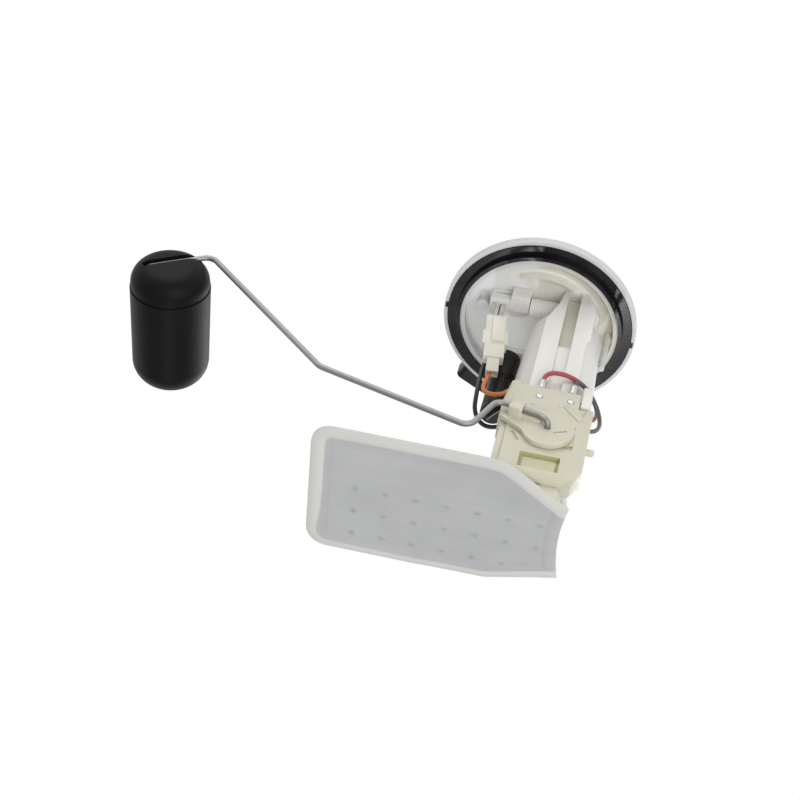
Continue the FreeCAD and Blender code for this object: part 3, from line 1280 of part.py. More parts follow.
def lead_ends():
    """Where each lead starts and ends: the points in the piece that holds it, and how far it runs out."""
    tilt = Rotation(BACK, -val("plug_sway")) * Rotation(ACROSS, val("plug_lean"))
    tail = val("plug_head + plug_waist + plug_foot + plug_tail")
    plug = at("plug_x", "plug_y", "plug_top")
    mouth = Vector(-8.6, -0.6, -66.0)
    run = Vector(-4.2, 0.4, -6.6).normalize()
    side = (BACK - run * BACK.dot(run)).normalize() * (val("lead_radius") + 0.05)
    seat = run * -val("seat_gap")

    def on_plug(z):
        return plug + tilt.multVec(Vector(-val("lead_radius") - 0.05, 0, z))

    def port(turn, level, radius):
        heading = math.radians(val(turn))
        return at("pump_x", "pump_y", level) + Vector(radius * math.cos(heading), radius * math.sin(heading), 0)

    def crimp(x, rise):
        return at(x, "face_y + 1.8", f"base_top + 0.4 + crimp_long + seat_gap + {rise}")

    deep = val("port_start") + 0.5
    bend = val("holder_radius") + 2.4
    hole = "base_top - 1.6"
    return {
        "lead_orange": ([on_plug(7.5 - tail), on_plug(-tail - 2.4)],
                        [at("lead_hole_x", "orange_hole_y", f"{hole} + 2"), at("lead_hole_x", "orange_hole_y", f"{hole} - 3.4")]),
        "lead_black": ([at("block_left + 4.4", "block_back + seat_gap", "-5")],
                       [mouth + side + seat - run * 5.2, mouth + side + seat]),
        "lead_amber": ([mouth - side + seat, mouth - side + seat - run * 3.2],
                       [at("lead_hole_x", "amber_hole_y", f"{hole} + 2"), at("lead_hole_x", "amber_hole_y", f"{hole} - 3.4")]),
        "lead_red": ([crimp("rivet_left", 0), crimp("rivet_left", 4)],
                     [port("red_turn", "-red_drop", bend), port("red_turn", "-red_drop", deep)]),
        "lead_grey": ([crimp("rivet_right", 0), crimp("rivet_right", 3.2)],
                      [port("grey_turn", "-grey_drop", bend), port("grey_turn", "-grey_drop", deep)]),
    }, mouth, run


def make_leads():
    ends, mouth, run = lead_ends()
    for label, route in LEAD_ROUTES.items():
        first, last = ends[label]
        points = first + [Vector(*spot) for spot in route] + last
        radii = lead_radii(points)
        print(label, "bend radii", [round(radius, 1) for radius in radii])
        made(label, piped(points, radii, val("lead_radius")))
    made("splice_cap", Part.makeCylinder(val("splice_radius"), val("splice_long"), mouth, run))


make_flange()
make_seal()
make_stem_ring()
make_shroud()
make_terminal_block()
make_plug()
make_holder()
make_cup()
make_isolators()
make_pump_case()
make_outlet_cover()
make_pump_terminals()
make_brushes()
make_bushings()
make_inlet_cover()
make_chamber_plate()
make_magnets()
make_rotor()
make_check_valve()
make_regulator()
make_strainer()
make_sender_base()
make_sender_metal()
make_lever()
make_wire()
make_float()
make_leads()
doc.recompute()

for thing in doc.Objects:
    if "Invalid" in thing.State or "Error" in thing.State:
        raise RuntimeError(f"{thing.Label} failed: {thing.State}")
for part in parts:
    if part.Shape.isNull() or not part.Shape.isValid() or part.Shape.Volume <= 0:
        raise RuntimeError(f"{part.Label} has no valid shape")

os.makedirs("parts", exist_ok=True)
for part in parts:
    part.Shape.exportStep(f"parts/{part.Label}.step")
    box = part.Shape.BoundBox
    print(f"{part.Label:20s} solids {len(part.Shape.Solids)} volume {part.Shape.Volume:9.1f} "
          f"x {box.XMin:7.1f} {box.XMax:7.1f} y {box.YMin:6.1f} {box.YMax:6.1f} z {box.ZMin:7.1f} {box.ZMax:6.1f}")
print(len(parts), "sub-parts")
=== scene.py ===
"""In-tank fuel pump module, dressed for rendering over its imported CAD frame."""

from __future__ import annotations

import logging
import math
from dataclasses import dataclass
from enum import Enum
from typing import Any, Sequence

import bmesh
import bpy
import numpy as np
from mathutils import Matrix, Vector

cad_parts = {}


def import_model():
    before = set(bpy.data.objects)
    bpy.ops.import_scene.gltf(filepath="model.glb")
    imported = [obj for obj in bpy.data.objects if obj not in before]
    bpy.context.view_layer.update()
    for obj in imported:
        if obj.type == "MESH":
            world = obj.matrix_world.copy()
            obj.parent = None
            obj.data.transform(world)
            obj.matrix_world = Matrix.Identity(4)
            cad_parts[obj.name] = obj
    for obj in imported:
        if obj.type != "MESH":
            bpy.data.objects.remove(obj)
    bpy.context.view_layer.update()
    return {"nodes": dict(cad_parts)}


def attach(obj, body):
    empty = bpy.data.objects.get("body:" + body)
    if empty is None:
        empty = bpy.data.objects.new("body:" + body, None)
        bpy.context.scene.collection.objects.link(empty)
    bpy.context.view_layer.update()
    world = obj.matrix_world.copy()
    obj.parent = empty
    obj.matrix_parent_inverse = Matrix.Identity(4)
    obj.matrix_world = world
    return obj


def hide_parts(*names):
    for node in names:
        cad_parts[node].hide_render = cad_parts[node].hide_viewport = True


log = logging.getLogger("fuel_pump")

MM = 0.001
PER_METRE = 1000.0
Number = float | int
Flat = tuple[float, float]
Point = tuple[float, float, float]
Colour = tuple[float, float, float]
Box = tuple[float, float, float, float]
Slab = tuple[Box, float, float]
Rounding = tuple[float, int]
SHARP_ANGLE = math.radians(35)
SMOOTH_ANGLE = math.radians(38)


class Body(Enum):
    """The bodies that new pieces ride on."""

    MODULE = "module"
    FLOAT_ARM = "float_arm"


class Boolean(Enum):
    """How one solid changes another."""

    JOIN = "UNION"
    CUT = "DIFFERENCE"


class Signal:
    """A node socket that can be used in Python expressions."""

    def __init__(self, shader: "Shader", socket: bpy.types.NodeSocket) -> None:
        """Keep the shader that makes nodes, and the socket whose value this is."""
        self.shader = shader
        self.socket = socket

    def __add__(self, other: "Signal | Number") -> "Signal":
        """Sum."""
        return self.shader.maths("ADD", self, other)

    __radd__ = __add__

    def __sub__(self, other: "Signal | Number") -> "Signal":
        """Difference."""
        return self.shader.maths("SUBTRACT", self, other)

    def __rsub__(self, other: Number) -> "Signal":
        """Reflected difference."""
        return self.shader.maths("SUBTRACT", other, self)

    def __mul__(self, other: "Signal | Number") -> "Signal":
        """Product."""
        return self.shader.maths("MULTIPLY", self, other)

    __rmul__ = __mul__

    def __pow__(self, other: Number) -> "Signal":
        """Power."""
        return self.shader.maths("POWER", self, other)

    def clamp(self) -> "Signal":
        """Limit to the range from 0 to 1."""
        return self.shader.maths("MINIMUM", self.shader.maths("MAXIMUM", self, 0.0), 1.0)

    def within(self, low: float, high: float, fade: float) -> "Signal":
        """Tell how far the value lies between two others.

        Args:
            low: The lower value.
            high: The upper value.
            fade: How far beyond them the share fades out.

        Returns:
            A share that is 1 between them and 0 well beyond them.
        """
        rising = (self - (low - fade)) * (1.0 / fade)
        falling = ((high + fade) - self) * (1.0 / fade)
        return rising.clamp() * falling.clamp()


class Shader:
    """Builds one material's node tree."""

    def __init__(self, name: str) -> None:
        """Start an empty material.

        Args:
            name: The material's name.
        """
        self.material = bpy.data.materials.new(name)
        self.material.use_nodes = True
        self.tree = self.material.node_tree
        self.tree.nodes.clear()

    def node(self, kind: str, settings: dict[str, Any] | None = None,
             values: dict[int | str, Any] | None = None, out: int | str = 0) -> Signal:
        """Add one node.

        Args:
            kind: The node's type.
            settings: Its properties, set before its sockets.
            values: Its inputs by index or name, each a number, a tuple or a Signal.
            out: The output to hand back.

        Returns:
            The chosen output as a Signal.
        """
        made = self.tree.nodes.new(kind)
        for key, value in (settings or {}).items():
            setattr(made, key, value)
        for key, value in (values or {}).items():
            if isinstance(value, Signal):
                self.tree.links.new(value.socket, made.inputs[key])
            else:
                made.inputs[key].default_value = value
        return Signal(self, made.outputs[out])

    def maths(self, operation: str, *values: Signal | Number) -> Signal:
        """Add one Math node."""
        return self.node("ShaderNodeMath", {"operation": operation}, dict(enumerate(values)))

    def axis(self, index: int) -> Signal:
        """One of the object coordinates, in metres."""
        where = self.node("ShaderNodeTexCoord", out="Object")
        return self.node("ShaderNodeSeparateXYZ", None, {0: where}, out=index)

    def place(self, scale: Point = (1.0, 1.0, 1.0), turn: Point = (0.0, 0.0, 0.0)) -> Signal:
        """Object coordinates, scaled and turned."""
        where = self.node("ShaderNodeTexCoord", out="Object")
        return self.node("ShaderNodeMapping", None, {"Vector": where, "Scale": scale, "Rotation": turn})

    def noise(self, scale: float, detail: float = 3.0, rough: float = 0.5,
              where: Signal | None = None) -> Signal:
        """Noise on object coordinates, from 0 to 1."""
        values = {"Scale": scale, "Detail": detail, "Roughness": rough, "Vector": where or self.place()}
        return self.node("ShaderNodeTexNoise", None, values)

    def mix(self, share: Signal | Number, first: Colour | Signal, second: Colour | Signal) -> Signal:
        """Blend two colours.

        Args:
            share: How much of the second colour shows, from 0 to 1.
            first: The first colour.
            second: The second colour.

        Returns:
            The blend.
        """
        def full(colour: Colour | Signal) -> Any:
            """Give a plain colour its alpha."""
            return colour if isinstance(colour, Signal) else (*colour, 1.0)
        values = {0: share, 6: full(first), 7: full(second)}
        return self.node("ShaderNodeMix", {"data_type": "RGBA"}, values, out=2)

    def attribute(self, name: str) -> Signal:
        """A number kept on the mesh's points."""
        return self.node("ShaderNodeAttribute", {"attribute_name": name}, out="Fac")

    def bump(self, height: Signal, depth: float, strength: float = 1.0) -> Signal:
        """A normal from a height of this depth in metres."""
        return self.node("ShaderNodeBump", None, {"Strength": strength, "Distance": depth, "Height": height})

    def close(self, **sockets: Any) -> bpy.types.Material:
        """Finish with a Principled shader.

        Args:
            sockets: Its inputs by name, with underscores for spaces.

        Returns:
            The material.
        """
        values = {key.replace("_", " "): value for key, value in sockets.items()}
        surface = self.node("ShaderNodeBsdfPrincipled", None, values)
        end = self.tree.nodes.new("ShaderNodeOutputMaterial")
        self.tree.links.new(surface.socket, end.inputs["Surface"])
        return self.material


def shaded(colour: Colour, factor: float) -> Colour:
    """Darken or lighten a colour."""
    return tuple(part * factor for part in colour)


@dataclass(frozen=True)
class Finish:
    """A finish that any piece can take."""

    name: str
    slot: str
    colour: Colour

    def material(self) -> bpy.types.Material:
        """The finish's material, built once."""
        return bpy.data.materials.get(self.name) or self.build()

    def build(self) -> bpy.types.Material:
        """Build the material."""
        raise NotImplementedError


@dataclass(frozen=True)
class Zone:
    """A box of the module's frame, in millimetres, whose surface takes a tint."""

    low: Point
    high: Point
    tint: Colour
    strength: float = 1.0
    fade: float = 0.3

    def share(self, shader: Shader) -> Signal:
        """Find how much of the tint each point takes.

        Args:
            shader: The material's shader.

        Returns:
            The share, from 0 to 1.
        """
        total = None
        for index in range(3):
            part = (shader.axis(index) * PER_METRE).within(self.low[index], self.high[index], self.fade)
            total = part * total if total else part
        return total * self.strength


@dataclass(frozen=True)
class RingZone(Zone):
    """A part of a ring round the module's axis: low and high hold radius, degrees and level."""

    turn_fade: float = 12.0

    def share(self, shader: Shader) -> Signal:
        """Find how much of the tint each point takes.

        Args:
            shader: The material's shader.

        Returns:
            The share, from 0 to 1.
        """
        x, y, z = (shader.axis(index) for index in range(3))
        radius = (x * x + y * y) ** 0.5 * PER_METRE
        turn = shader.maths("ARCTAN2", y, x) * math.degrees(1.0)
        total = radius.within(self.low[0], self.high[0], self.fade)
        total = turn.within(self.low[1], self.high[1], self.turn_fade * self.fade) * total
        return (z * PER_METRE).within(self.low[2], self.high[2], self.fade) * total * self.strength


@dataclass(frozen=True)
class MouldedPlastic(Finish):
    """Moulded resin with a faint flow pattern, a fine skin and a little light inside it."""

    roughness: float = 0.42
    glow: float = 0.0
    glow_colour: Colour = (1.0, 0.9, 0.75)
    flow: float = 0.06
    skin: float = 0.00002
    stain: Colour = (0.5, 0.48, 0.38)
    stain_share: float = 0.0
    bend: float = 1.5
    zones: tuple[Zone, ...] = ()
    flow_scale: float = 45.0
    cloud_scale: float = 14.0
    skin_scale: float = 2600.0

    def build(self) -> bpy.types.Material:
        """Build the material.

        Returns:
            The finished material.
        """
        shader = Shader(self.name)
        flow = shader.noise(self.flow_scale, 4.0, 0.6)
        dark = shaded(self.colour, 1.0 - self.flow)
        light = tuple(min(1.0, part * (1.0 + 0.5 * self.flow)) for part in self.colour)
        colour = shader.mix((flow * 1.6 - 0.3).clamp(), dark, light)
        if self.stain_share > 0:
            cloud = shader.noise(self.cloud_scale, 2.0, 0.5)
            stain = ((cloud - 0.45) * 2.4).clamp() * self.stain_share
            colour = shader.mix(stain, colour, self.stain)
        # Zones tint the surface by place; several of them are painted light or painted shade.
        for zone in self.zones:
            colour = shader.mix(zone.share(shader), colour, zone.tint)
        fine = shader.noise(self.skin_scale, 2.0, 0.5)
        rough = flow * 0.10 + (self.roughness - 0.05)
        relief = shader.bump(fine + flow * 2.0, self.skin)
        return shader.close(Base_Color=colour, Roughness=rough, Normal=relief, Subsurface_Weight=self.glow,
                            Subsurface_Radius=self.glow_colour, Subsurface_Scale=0.002, IOR=self.bend)


@dataclass(frozen=True)
class BlackRubber(Finish):
    """Glossy moulded rubber with a faint bloom of dust."""

    roughness: float = 0.22
    dust: float = 0.3
    bend: float = 1.34
    bloom_scale: float = 60.0
    skin_scale: float = 900.0

    def build(self) -> bpy.types.Material:
        """Build the material.

        Returns:
            The finished material.
        """
        shader = Shader(self.name)
        cloud = shader.noise(self.bloom_scale, 5.0, 0.6)
        fine = shader.noise(self.skin_scale, 3.0, 0.6)
        bloom = ((cloud - 0.5) * 3.0).clamp() * self.dust
        paler = tuple(part + 0.02 for part in self.colour)
        return shader.close(Base_Color=shader.mix(bloom, self.colour, paler),
                            Roughness=bloom * 0.4 + fine * 0.08 + (self.roughness - 0.04),
                            Normal=shader.bump(fine, 0.00001), IOR=self.bend)


@dataclass(frozen=True)
class BareMetal(Finish):
    """Drawn or plated metal with fine lines along it and a little tarnish."""

    roughness: float = 0.35
    lines: Point = (60.0, 60.0, 900.0)
    tarnish: Colour = (0.30, 0.28, 0.25)
    tarnish_share: float = 0.3
    patch_scale: float = 180.0

    def build(self) -> bpy.types.Material:
        """Build the material.

        Returns:
            The finished material.
        """
        shader = Shader(self.name)
        drawn = shader.noise(20.0, 4.0, 0.6, shader.place(self.lines))
        patch = shader.noise(self.patch_scale, 4.0, 0.6)
        worn = ((patch - 0.5) * 2.5).clamp() * self.tarnish_share
        return shader.close(Base_Color=shader.mix(worn, self.colour, self.tarnish),
                            Metallic=1.0, Roughness=drawn * 0.16 + worn * 0.25 + (self.roughness - 0.08),
                            Normal=shader.bump(drawn, 0.00001))


@dataclass(frozen=True)
class Windings(Finish):
    """Enamelled copper turns round the core."""

    turns: float = 520.0

    def build(self) -> bpy.types.Material:
        """Build the material.

        Returns:
            The finished material.
        """
        shader = Shader(self.name)
        turns = shader.node("ShaderNodeTexWave", {"wave_type": "RINGS", "rings_direction": "Z"},
                            {"Vector": shader.place(), "Scale": self.turns, "Distortion": 1.2, "Detail": 2.0})
        dark = shaded(self.colour, 0.35)
        return shader.close(Base_Color=shader.mix(turns, dark, self.colour), Metallic=0.7,
                            Roughness=turns * -0.15 + 0.45, Normal=shader.bump(turns, 0.0001))


@dataclass(frozen=True)
class LeadCover(Finish):
    """Soft plastic insulation with fine scuffs."""

    roughness: float = 0.38
    scuff_scale: float = 420.0
    shade_scale: float = 90.0

    def build(self) -> bpy.types.Material:
        """Build the material.

        Returns:
            The finished material.
        """
        shader = Shader(self.name)
        scuff = shader.noise(self.scuff_scale, 4.0, 0.6)
        shade = shader.noise(self.shade_scale, 3.0, 0.5)
        dark = shaded(self.colour, 0.75)
        return shader.close(Base_Color=shader.mix((shade * 1.4 - 0.2).clamp(), dark, self.colour),
                            Roughness=scuff * 0.2 + (self.roughness - 0.1),
                            Normal=shader.bump(scuff, 0.00002))


@dataclass(frozen=True)
class FilterCloth(Finish):
    """Woven filter cloth with a smooth welded border round it, and painted shade at the spacer pins and along
    a fold.
    """

    border: Colour = (0.64, 0.64, 0.61)
    # Colour of the painted shade in the dimples round the spacer pins and along the fold.
    spot: Colour = (0.27, 0.28, 0.29)
    thread: float = 0.00045
    cloud_scale: float = 26.0
    streak_scale: float = 30.0
    row_scale: float = 60.0

    def build(self) -> bpy.types.Material:
        """Build the material.

        Returns:
            The finished material.
        """
        shader = Shader(self.name)
        weld = shader.attribute("weld")
        pin_and_fold_shade = shader.attribute("pin_and_fold_shade")
        pitch = 2.0 * math.pi / self.thread
        warp, weft = (shader.maths("SINE", shader.axis(index) * pitch) for index in range(2))
        weave = (warp * 0.5 + 0.5) * 0.45 + (weft * 0.5 + 0.5) * 0.55
        cloud = shader.noise(self.cloud_scale, 4.0, 0.6)
        streak = shader.noise(self.streak_scale, 4.0, 0.65, shader.place((0.35, 6.0, 1.0), (0.0, 0.0, 0.05)))
        rows = shader.noise(self.row_scale, 3.0, 0.6, shader.place((0.5, 24.0, 1.0), (0.0, 0.0, 0.03)))
        cloth = shader.mix((cloud * 1.8 - 0.4).clamp(), shaded(self.colour, 0.84), self.colour)
        cloth = shader.mix(((streak - 0.45) * 3.0).clamp() * 0.35, cloth, shaded(self.colour, 1.16))
        cloth = shader.mix(((rows - 0.5) * 4.0).clamp() * 0.22, cloth, shaded(self.colour, 0.82))
        cloth = shader.mix(weave * 0.22, cloth, shaded(self.colour, 0.6))
        # Painted shade at the pins and along the fold.
        cloth = shader.mix(pin_and_fold_shade * 0.75, cloth, self.spot)
        smear = shader.mix((cloud * 1.5 - 0.3).clamp(), shaded(self.border, 0.93), self.border)
        height = (weave * (1.0 - weld)) + streak * 1.5
        return shader.close(Base_Color=shader.mix(weld, cloth, smear), Roughness=weld * -0.25 + 0.72,
                            Normal=shader.bump(height, 0.00008), Subsurface_Weight=0.15,
                            Subsurface_Radius=(1.0, 1.0, 1.0), Subsurface_Scale=0.001)


FLANGE_TINTS_AND_PAINTED_LIGHT = (
    # Lighter tint over the underside inside the seal: painted light.
    Zone((-36.0, -36.0, 2.0), (36.0, 36.0, 8.0), (0.80, 0.80, 0.80), 0.8, 1.0),
    # Darker beige over the right-hand half: painted shade.
    Zone((0.0, -45.0, -8.0), (45.0, 45.0, 18.0), (0.66, 0.64, 0.55), 0.8, 10.0),
    # Lighter band over the front part of the inner ring only: painted light.
    RingZone((24.3, -122.0, 0.0), (29.0, -34.0, 8.0), (0.84, 0.83, 0.76), 1.0, 0.6),
    RingZone((37.4, -190.0, -9.0), (60.0, 190.0, 30.0), (0.66, 0.66, 0.655), 1.0, 0.5),
)
FLANGE_RESIN = MouldedPlastic("flange_resin", "natural_flange", (0.66, 0.66, 0.65), 0.38, 0.35,
                              (1.0, 0.95, 0.85), zones=FLANGE_TINTS_AND_PAINTED_LIGHT)
# Darker beige in the channel between the columns: painted shade in the recess.
CHANNEL_PAINTED_SHADE = Zone((11.7, -19.2, -39.5), (17.7, -15.0, 1.0), (0.68, 0.66, 0.57), 0.8, 0.2)
HOLDER_RESIN = MouldedPlastic("holder_resin", "white_plastic", (0.79, 0.78, 0.74), 0.34, 0.4,
                              (1.0, 0.95, 0.85), zones=(CHANNEL_PAINTED_SHADE,))
# Yellow-green tints on the window's walls, floor and rim, on the platform's front and in the small slot:
# painted shade in and round the recesses.
SENDER_PAINTED_SHADE = (
    Zone((6.6, -24.8, -130.6), (23.8, -22.9, -120.2), (0.50, 0.49, 0.20), 0.85, 0.1),
    Zone((6.6, -22.75, -130.6), (23.8, -22.2, -120.2), (0.60, 0.58, 0.36), 0.85, 0.1),
    Zone((8.9, -24.4, -130.4), (21.5, -24.0, -123.1), (0.60, 0.57, 0.42), 1.0, 0.1),
    Zone((6.0, -25.3, -132.5), (24.0, -24.9, -120.0), (0.58, 0.56, 0.36), 0.35, 3.0),
    Zone((20.6, -24.85, -114.9), (27.5, -23.0, -111.5), (0.56, 0.55, 0.36), 0.8, 0.1),
)
SENDER_RESIN = MouldedPlastic("sender_resin", "cream_plastic", (0.63, 0.61, 0.49), 0.40, 0.35,
                              (1.0, 0.88, 0.6), stain=(0.58, 0.56, 0.33), stain_share=0.25,
                              zones=SENDER_PAINTED_SHADE)
PLUG_RESIN = MouldedPlastic("plug_resin", "natural_plastic", (0.72, 0.69, 0.60), 0.36, 0.3, (1.0, 0.9, 0.7))
FLOAT_RESIN = MouldedPlastic("float_resin", "float_plastic", (0.006, 0.0055, 0.005), 0.46, flow=0.25,
                             skin=0.00004, bend=1.2)
BLACK_RESIN = MouldedPlastic("black_resin", "black_plastic", (0.009, 0.008, 0.008), 0.42, flow=0.2, bend=1.36)
AMBER_RESIN = MouldedPlastic("amber_resin", "amber_resin", (0.30, 0.16, 0.06), 0.45)
BRUSH_CARBON = MouldedPlastic("brush_carbon", "carbon", (0.03, 0.03, 0.032), 0.6)
MAGNET_FERRITE = MouldedPlastic("magnet_ferrite", "ferrite", (0.05, 0.05, 0.055), 0.7)
CARD_CERAMIC = MouldedPlastic("card_ceramic", "ceramic_card", (0.62, 0.61, 0.54), 0.5)
SEAL_RUBBER = BlackRubber("seal_rubber", "black_seal", (0.008, 0.008, 0.011), 0.17)
SOFT_RUBBER = BlackRubber("soft_rubber", "black_rubber", (0.018, 0.018, 0.018), 0.5)
PLATED_CAN = BareMetal("plated_can", "plated_steel", (0.60, 0.60, 0.58), 0.32)
SPRING_WIRE = BareMetal("spring_wire", "spring_steel", (0.50, 0.48, 0.45), 0.38)
ARM_WIRE = BareMetal("arm_wire", "spring_steel", (0.34, 0.34, 0.33), 0.55, tarnish=(0.22, 0.22, 0.21))
CRIMPED_TIN = BareMetal("crimped_tin", "tinned_metal", (0.56, 0.56, 0.53), 0.38)
TINNED_BLADE = BareMetal("tinned_blade", "tinned_metal", (0.68, 0.67, 0.63), 0.28)
BEARING_BRONZE = BareMetal("bearing_bronze", "bronze", (0.50, 0.32, 0.14), 0.4)
COPPER_TURNS = Windings("copper_turns", "copper_wire", (0.62, 0.28, 0.12))
ORANGE_COVER = LeadCover("orange_cover", "orange_cover", (0.66, 0.22, 0.05))
AMBER_COVER = LeadCover("amber_cover", "amber_cover", (0.50, 0.25, 0.02))
RED_COVER = LeadCover("red_cover", "red_cover", (0.42, 0.06, 0.07))
GREY_COVER = LeadCover("grey_cover", "grey_cover", (0.10, 0.10, 0.11))
BLACK_COVER = LeadCover("black_cover", "black_cover", (0.012, 0.012, 0.012))
FILTER_CLOTH = FilterCloth("filter_cloth", "grey_mesh", (0.53, 0.535, 0.54))

NODE_FINISHES: dict[str, Finish] = {
    "flange": FLANGE_RESIN, "tank_seal": SEAL_RUBBER, "stem_o_ring": SOFT_RUBBER,
    "connector_shroud": BLACK_RESIN, "shroud_pins": TINNED_BLADE, "terminal_block": PLUG_RESIN,
    "terminal_blades": TINNED_BLADE, "harness_plug": PLUG_RESIN, "pump_holder": HOLDER_RESIN,
    "lower_cup": HOLDER_RESIN, "upper_isolator": SOFT_RUBBER, "lower_isolator": SOFT_RUBBER,
    "pump_case": PLATED_CAN, "outlet_cover": BLACK_RESIN, "pump_terminals": TINNED_BLADE,
    "carbon_brushes": BRUSH_CARBON, "brush_springs": SPRING_WIRE, "upper_bushing": BEARING_BRONZE,
    "lower_bushing": BEARING_BRONZE, "inlet_cover": BLACK_RESIN, "chamber_plate": BLACK_RESIN,
    "field_magnets": MAGNET_FERRITE, "rotor_shaft": SPRING_WIRE, "impeller": AMBER_RESIN,
    "armature_core": PLATED_CAN, "armature_winding": COPPER_TURNS, "commutator": BEARING_BRONZE,
    "check_poppet": AMBER_RESIN, "check_spring": SPRING_WIRE, "regulator_body": BLACK_RESIN,
    "regulator_cover": BLACK_RESIN, "regulator_diaphragm": SOFT_RUBBER, "regulator_poppet": SPRING_WIRE,
    "regulator_spring": SPRING_WIRE, "strainer_bag": FILTER_CLOTH, "strainer_neck": PLUG_RESIN,
    "strainer_clip": SPRING_WIRE, "strainer_spacer": PLUG_RESIN, "sender_base": SENDER_RESIN,
    "sender_rivets": CRIMPED_TIN, "crimp_terminals": CRIMPED_TIN, "resistor_card": CARD_CERAMIC,
    "float_lever": SENDER_RESIN, "wiper_contact": BEARING_BRONZE, "float_wire": ARM_WIRE,
    "float_body": FLOAT_RESIN, "float_cap": FLOAT_RESIN, "lead_orange": ORANGE_COVER,
    "lead_black": BLACK_COVER, "lead_amber": AMBER_COVER, "lead_red": RED_COVER, "lead_grey": GREY_COVER,
    "splice_cap": BLACK_RESIN,
}


def seat(piece: bpy.types.Object, body: Body, finish: Finish, *nodes: str) -> bpy.types.Object:
    """Finish a new piece and set it on its body.

    Args:
        piece: The piece, in the module's frame with its object at the origin.
        body: The body that it rides on.
        finish: The finish that it takes.
        nodes: The CAD nodes that it stands for.

    Returns:
        The piece.
    """
    piece.data.materials.clear()
    piece.data.materials.append(finish.material())
    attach(piece, body.value)
    if nodes:
        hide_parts(*nodes)
    log.info("piece %s on %s, %d faces", piece.name, body.value, len(piece.data.polygons))
    return piece


def from_grid(name: str, points: np.ndarray) -> bpy.types.Object:
    """Make a mesh of four-sided faces from a grid of points.

    Args:
        name: The object's name.
        points: An array of rows, columns and three coordinates, in metres.

    Returns:
        The object, linked to the scene.
    """
    rows, columns = points.shape[:2]
    corners = [row * columns + column for row in range(rows - 1) for column in range(columns - 1)]
    faces = [(corner, corner + 1, corner + columns + 1, corner + columns) for corner in corners]
    mesh = bpy.data.meshes.new(name)
    mesh.from_pydata(points.reshape(-1, 3).tolist(), [], faces)
    piece = bpy.data.objects.new(name, mesh)
    bpy.context.scene.collection.objects.link(piece)
    return piece


def alone(piece: bpy.types.Object) -> None:
    """Select only this piece and make it active."""
    bpy.ops.object.select_all(action="DESELECT")
    piece.select_set(True)
    bpy.context.view_layer.objects.active = piece


def apply_modifier(piece: bpy.types.Object, kind: str, **settings: Any) -> None:
    """Add a modifier to a piece and apply it.

    Args:
        piece: The piece.
        kind: The modifier's type.
        settings: Its properties.
    """
    alone(piece)
    step = piece.modifiers.new(kind.lower(), kind)
    for key, value in settings.items():
        setattr(step, key, value)
    bpy.ops.object.modifier_apply(modifier=step.name)


def smoothed(piece: bpy.types.Object) -> bpy.types.Object:
    """Shade a piece smooth except along its sharp edges.

    Args:
        piece: The piece.

    Returns:
        The same piece.
    """
    alone(piece)
    bpy.ops.object.shade_smooth_by_angle(angle=SMOOTH_ANGLE)
    return piece


def softened(piece: bpy.types.Object, width: float, segments: int = 2) -> bpy.types.Object:
    """Round a piece's sharp edges and shade it.

    Args:
        piece: The piece.
        width: The rounding's width, in millimetres.
        segments: The number of faces across it.

    Returns:
        The same piece.
    """
    apply_modifier(piece, "BEVEL", width=width * MM, segments=segments, limit_method="ANGLE",
                   angle_limit=SHARP_ANGLE, use_clamp_overlap=True)
    return smoothed(piece)


def combined(piece: bpy.types.Object, other: bpy.types.Object, how: Boolean) -> bpy.types.Object:
    """Join another solid to a piece or cut it out, and drop the other.

    Args:
        piece: The piece that changes.
        other: The other solid.
        how: Whether it is joined or cut out.

    Returns:
        The changed piece.
    """
    apply_modifier(piece, "BOOLEAN", object=other, operation=how.value, solver="EXACT")
    bpy.data.objects.remove(other, do_unlink=True)
    return piece


@dataclass(frozen=True)
class Drawing:
    """A flat plane to draw an outline on, in millimetres, with the way that it is extruded."""

    origin: Point = (0.0, 0.0, 0.0)
    across: Point = (1.0, 0.0, 0.0)
    upward: Point = (0.0, 0.0, 1.0)
    depth: Point = (0.0, 1.0, 0.0)

    def spot(self, across: float, upward: float, depth: float) -> Vector:
        """A point of the drawing, in metres in the module's frame."""
        place = Vector(self.origin) + Vector(self.across) * across + Vector(self.upward) * upward
        return (place + Vector(self.depth) * depth) * MM

    def extruded(self, name: str, outline: Sequence[Flat], near: float, far: float) -> bpy.types.Object:
        """Draw a closed outline and extrude it.

        Args:
            name: The new object's name.
            outline: Its corners.
            near: Where the extrusion starts along the depth.
            far: Where it ends.

        Returns:
            The solid, with sharp edges.
        """
        bpy.ops.object.select_all(action="DESELECT")
        bpy.ops.mesh.primitive_circle_add(vertices=len(outline), radius=1.0, fill_type="NGON")
        piece = bpy.context.view_layer.objects.active
        piece.name = name
        for vertex, (across, upward) in zip(piece.data.vertices, outline):
            vertex.co = self.spot(across, upward, near)
        bpy.ops.object.mode_set(mode="EDIT")
        bpy.ops.mesh.select_all(action="SELECT")
        push = Vector(self.depth) * (far - near) * MM
        bpy.ops.mesh.extrude_region_move(TRANSFORM_OT_translate={"value": tuple(push)})
        bpy.ops.mesh.select_all(action="SELECT")
        bpy.ops.mesh.normals_make_consistent(inside=False)
        bpy.ops.object.mode_set(mode="OBJECT")
        return piece

    def boxed(self, name: str, slab: Slab) -> bpy.types.Object:
        """Draw an upright box outline and extrude it.

        Args:
            name: The new object's name.
            slab: The box's left, low, right and high, and the two ends of its depth.

        Returns:
            The solid, with sharp edges.
        """
        box, near, far = slab
        return self.extruded(name, box_outline(*box), near, far)


FRONT_VIEW = Drawing()
PLAN_VIEW = Drawing(upward=(0.0, 1.0, 0.0), depth=(0.0, 0.0, 1.0))
SIDE_VIEW = Drawing(across=(0.0, 1.0, 0.0), upward=(0.0, 0.0, 1.0), depth=(1.0, 0.0, 0.0))


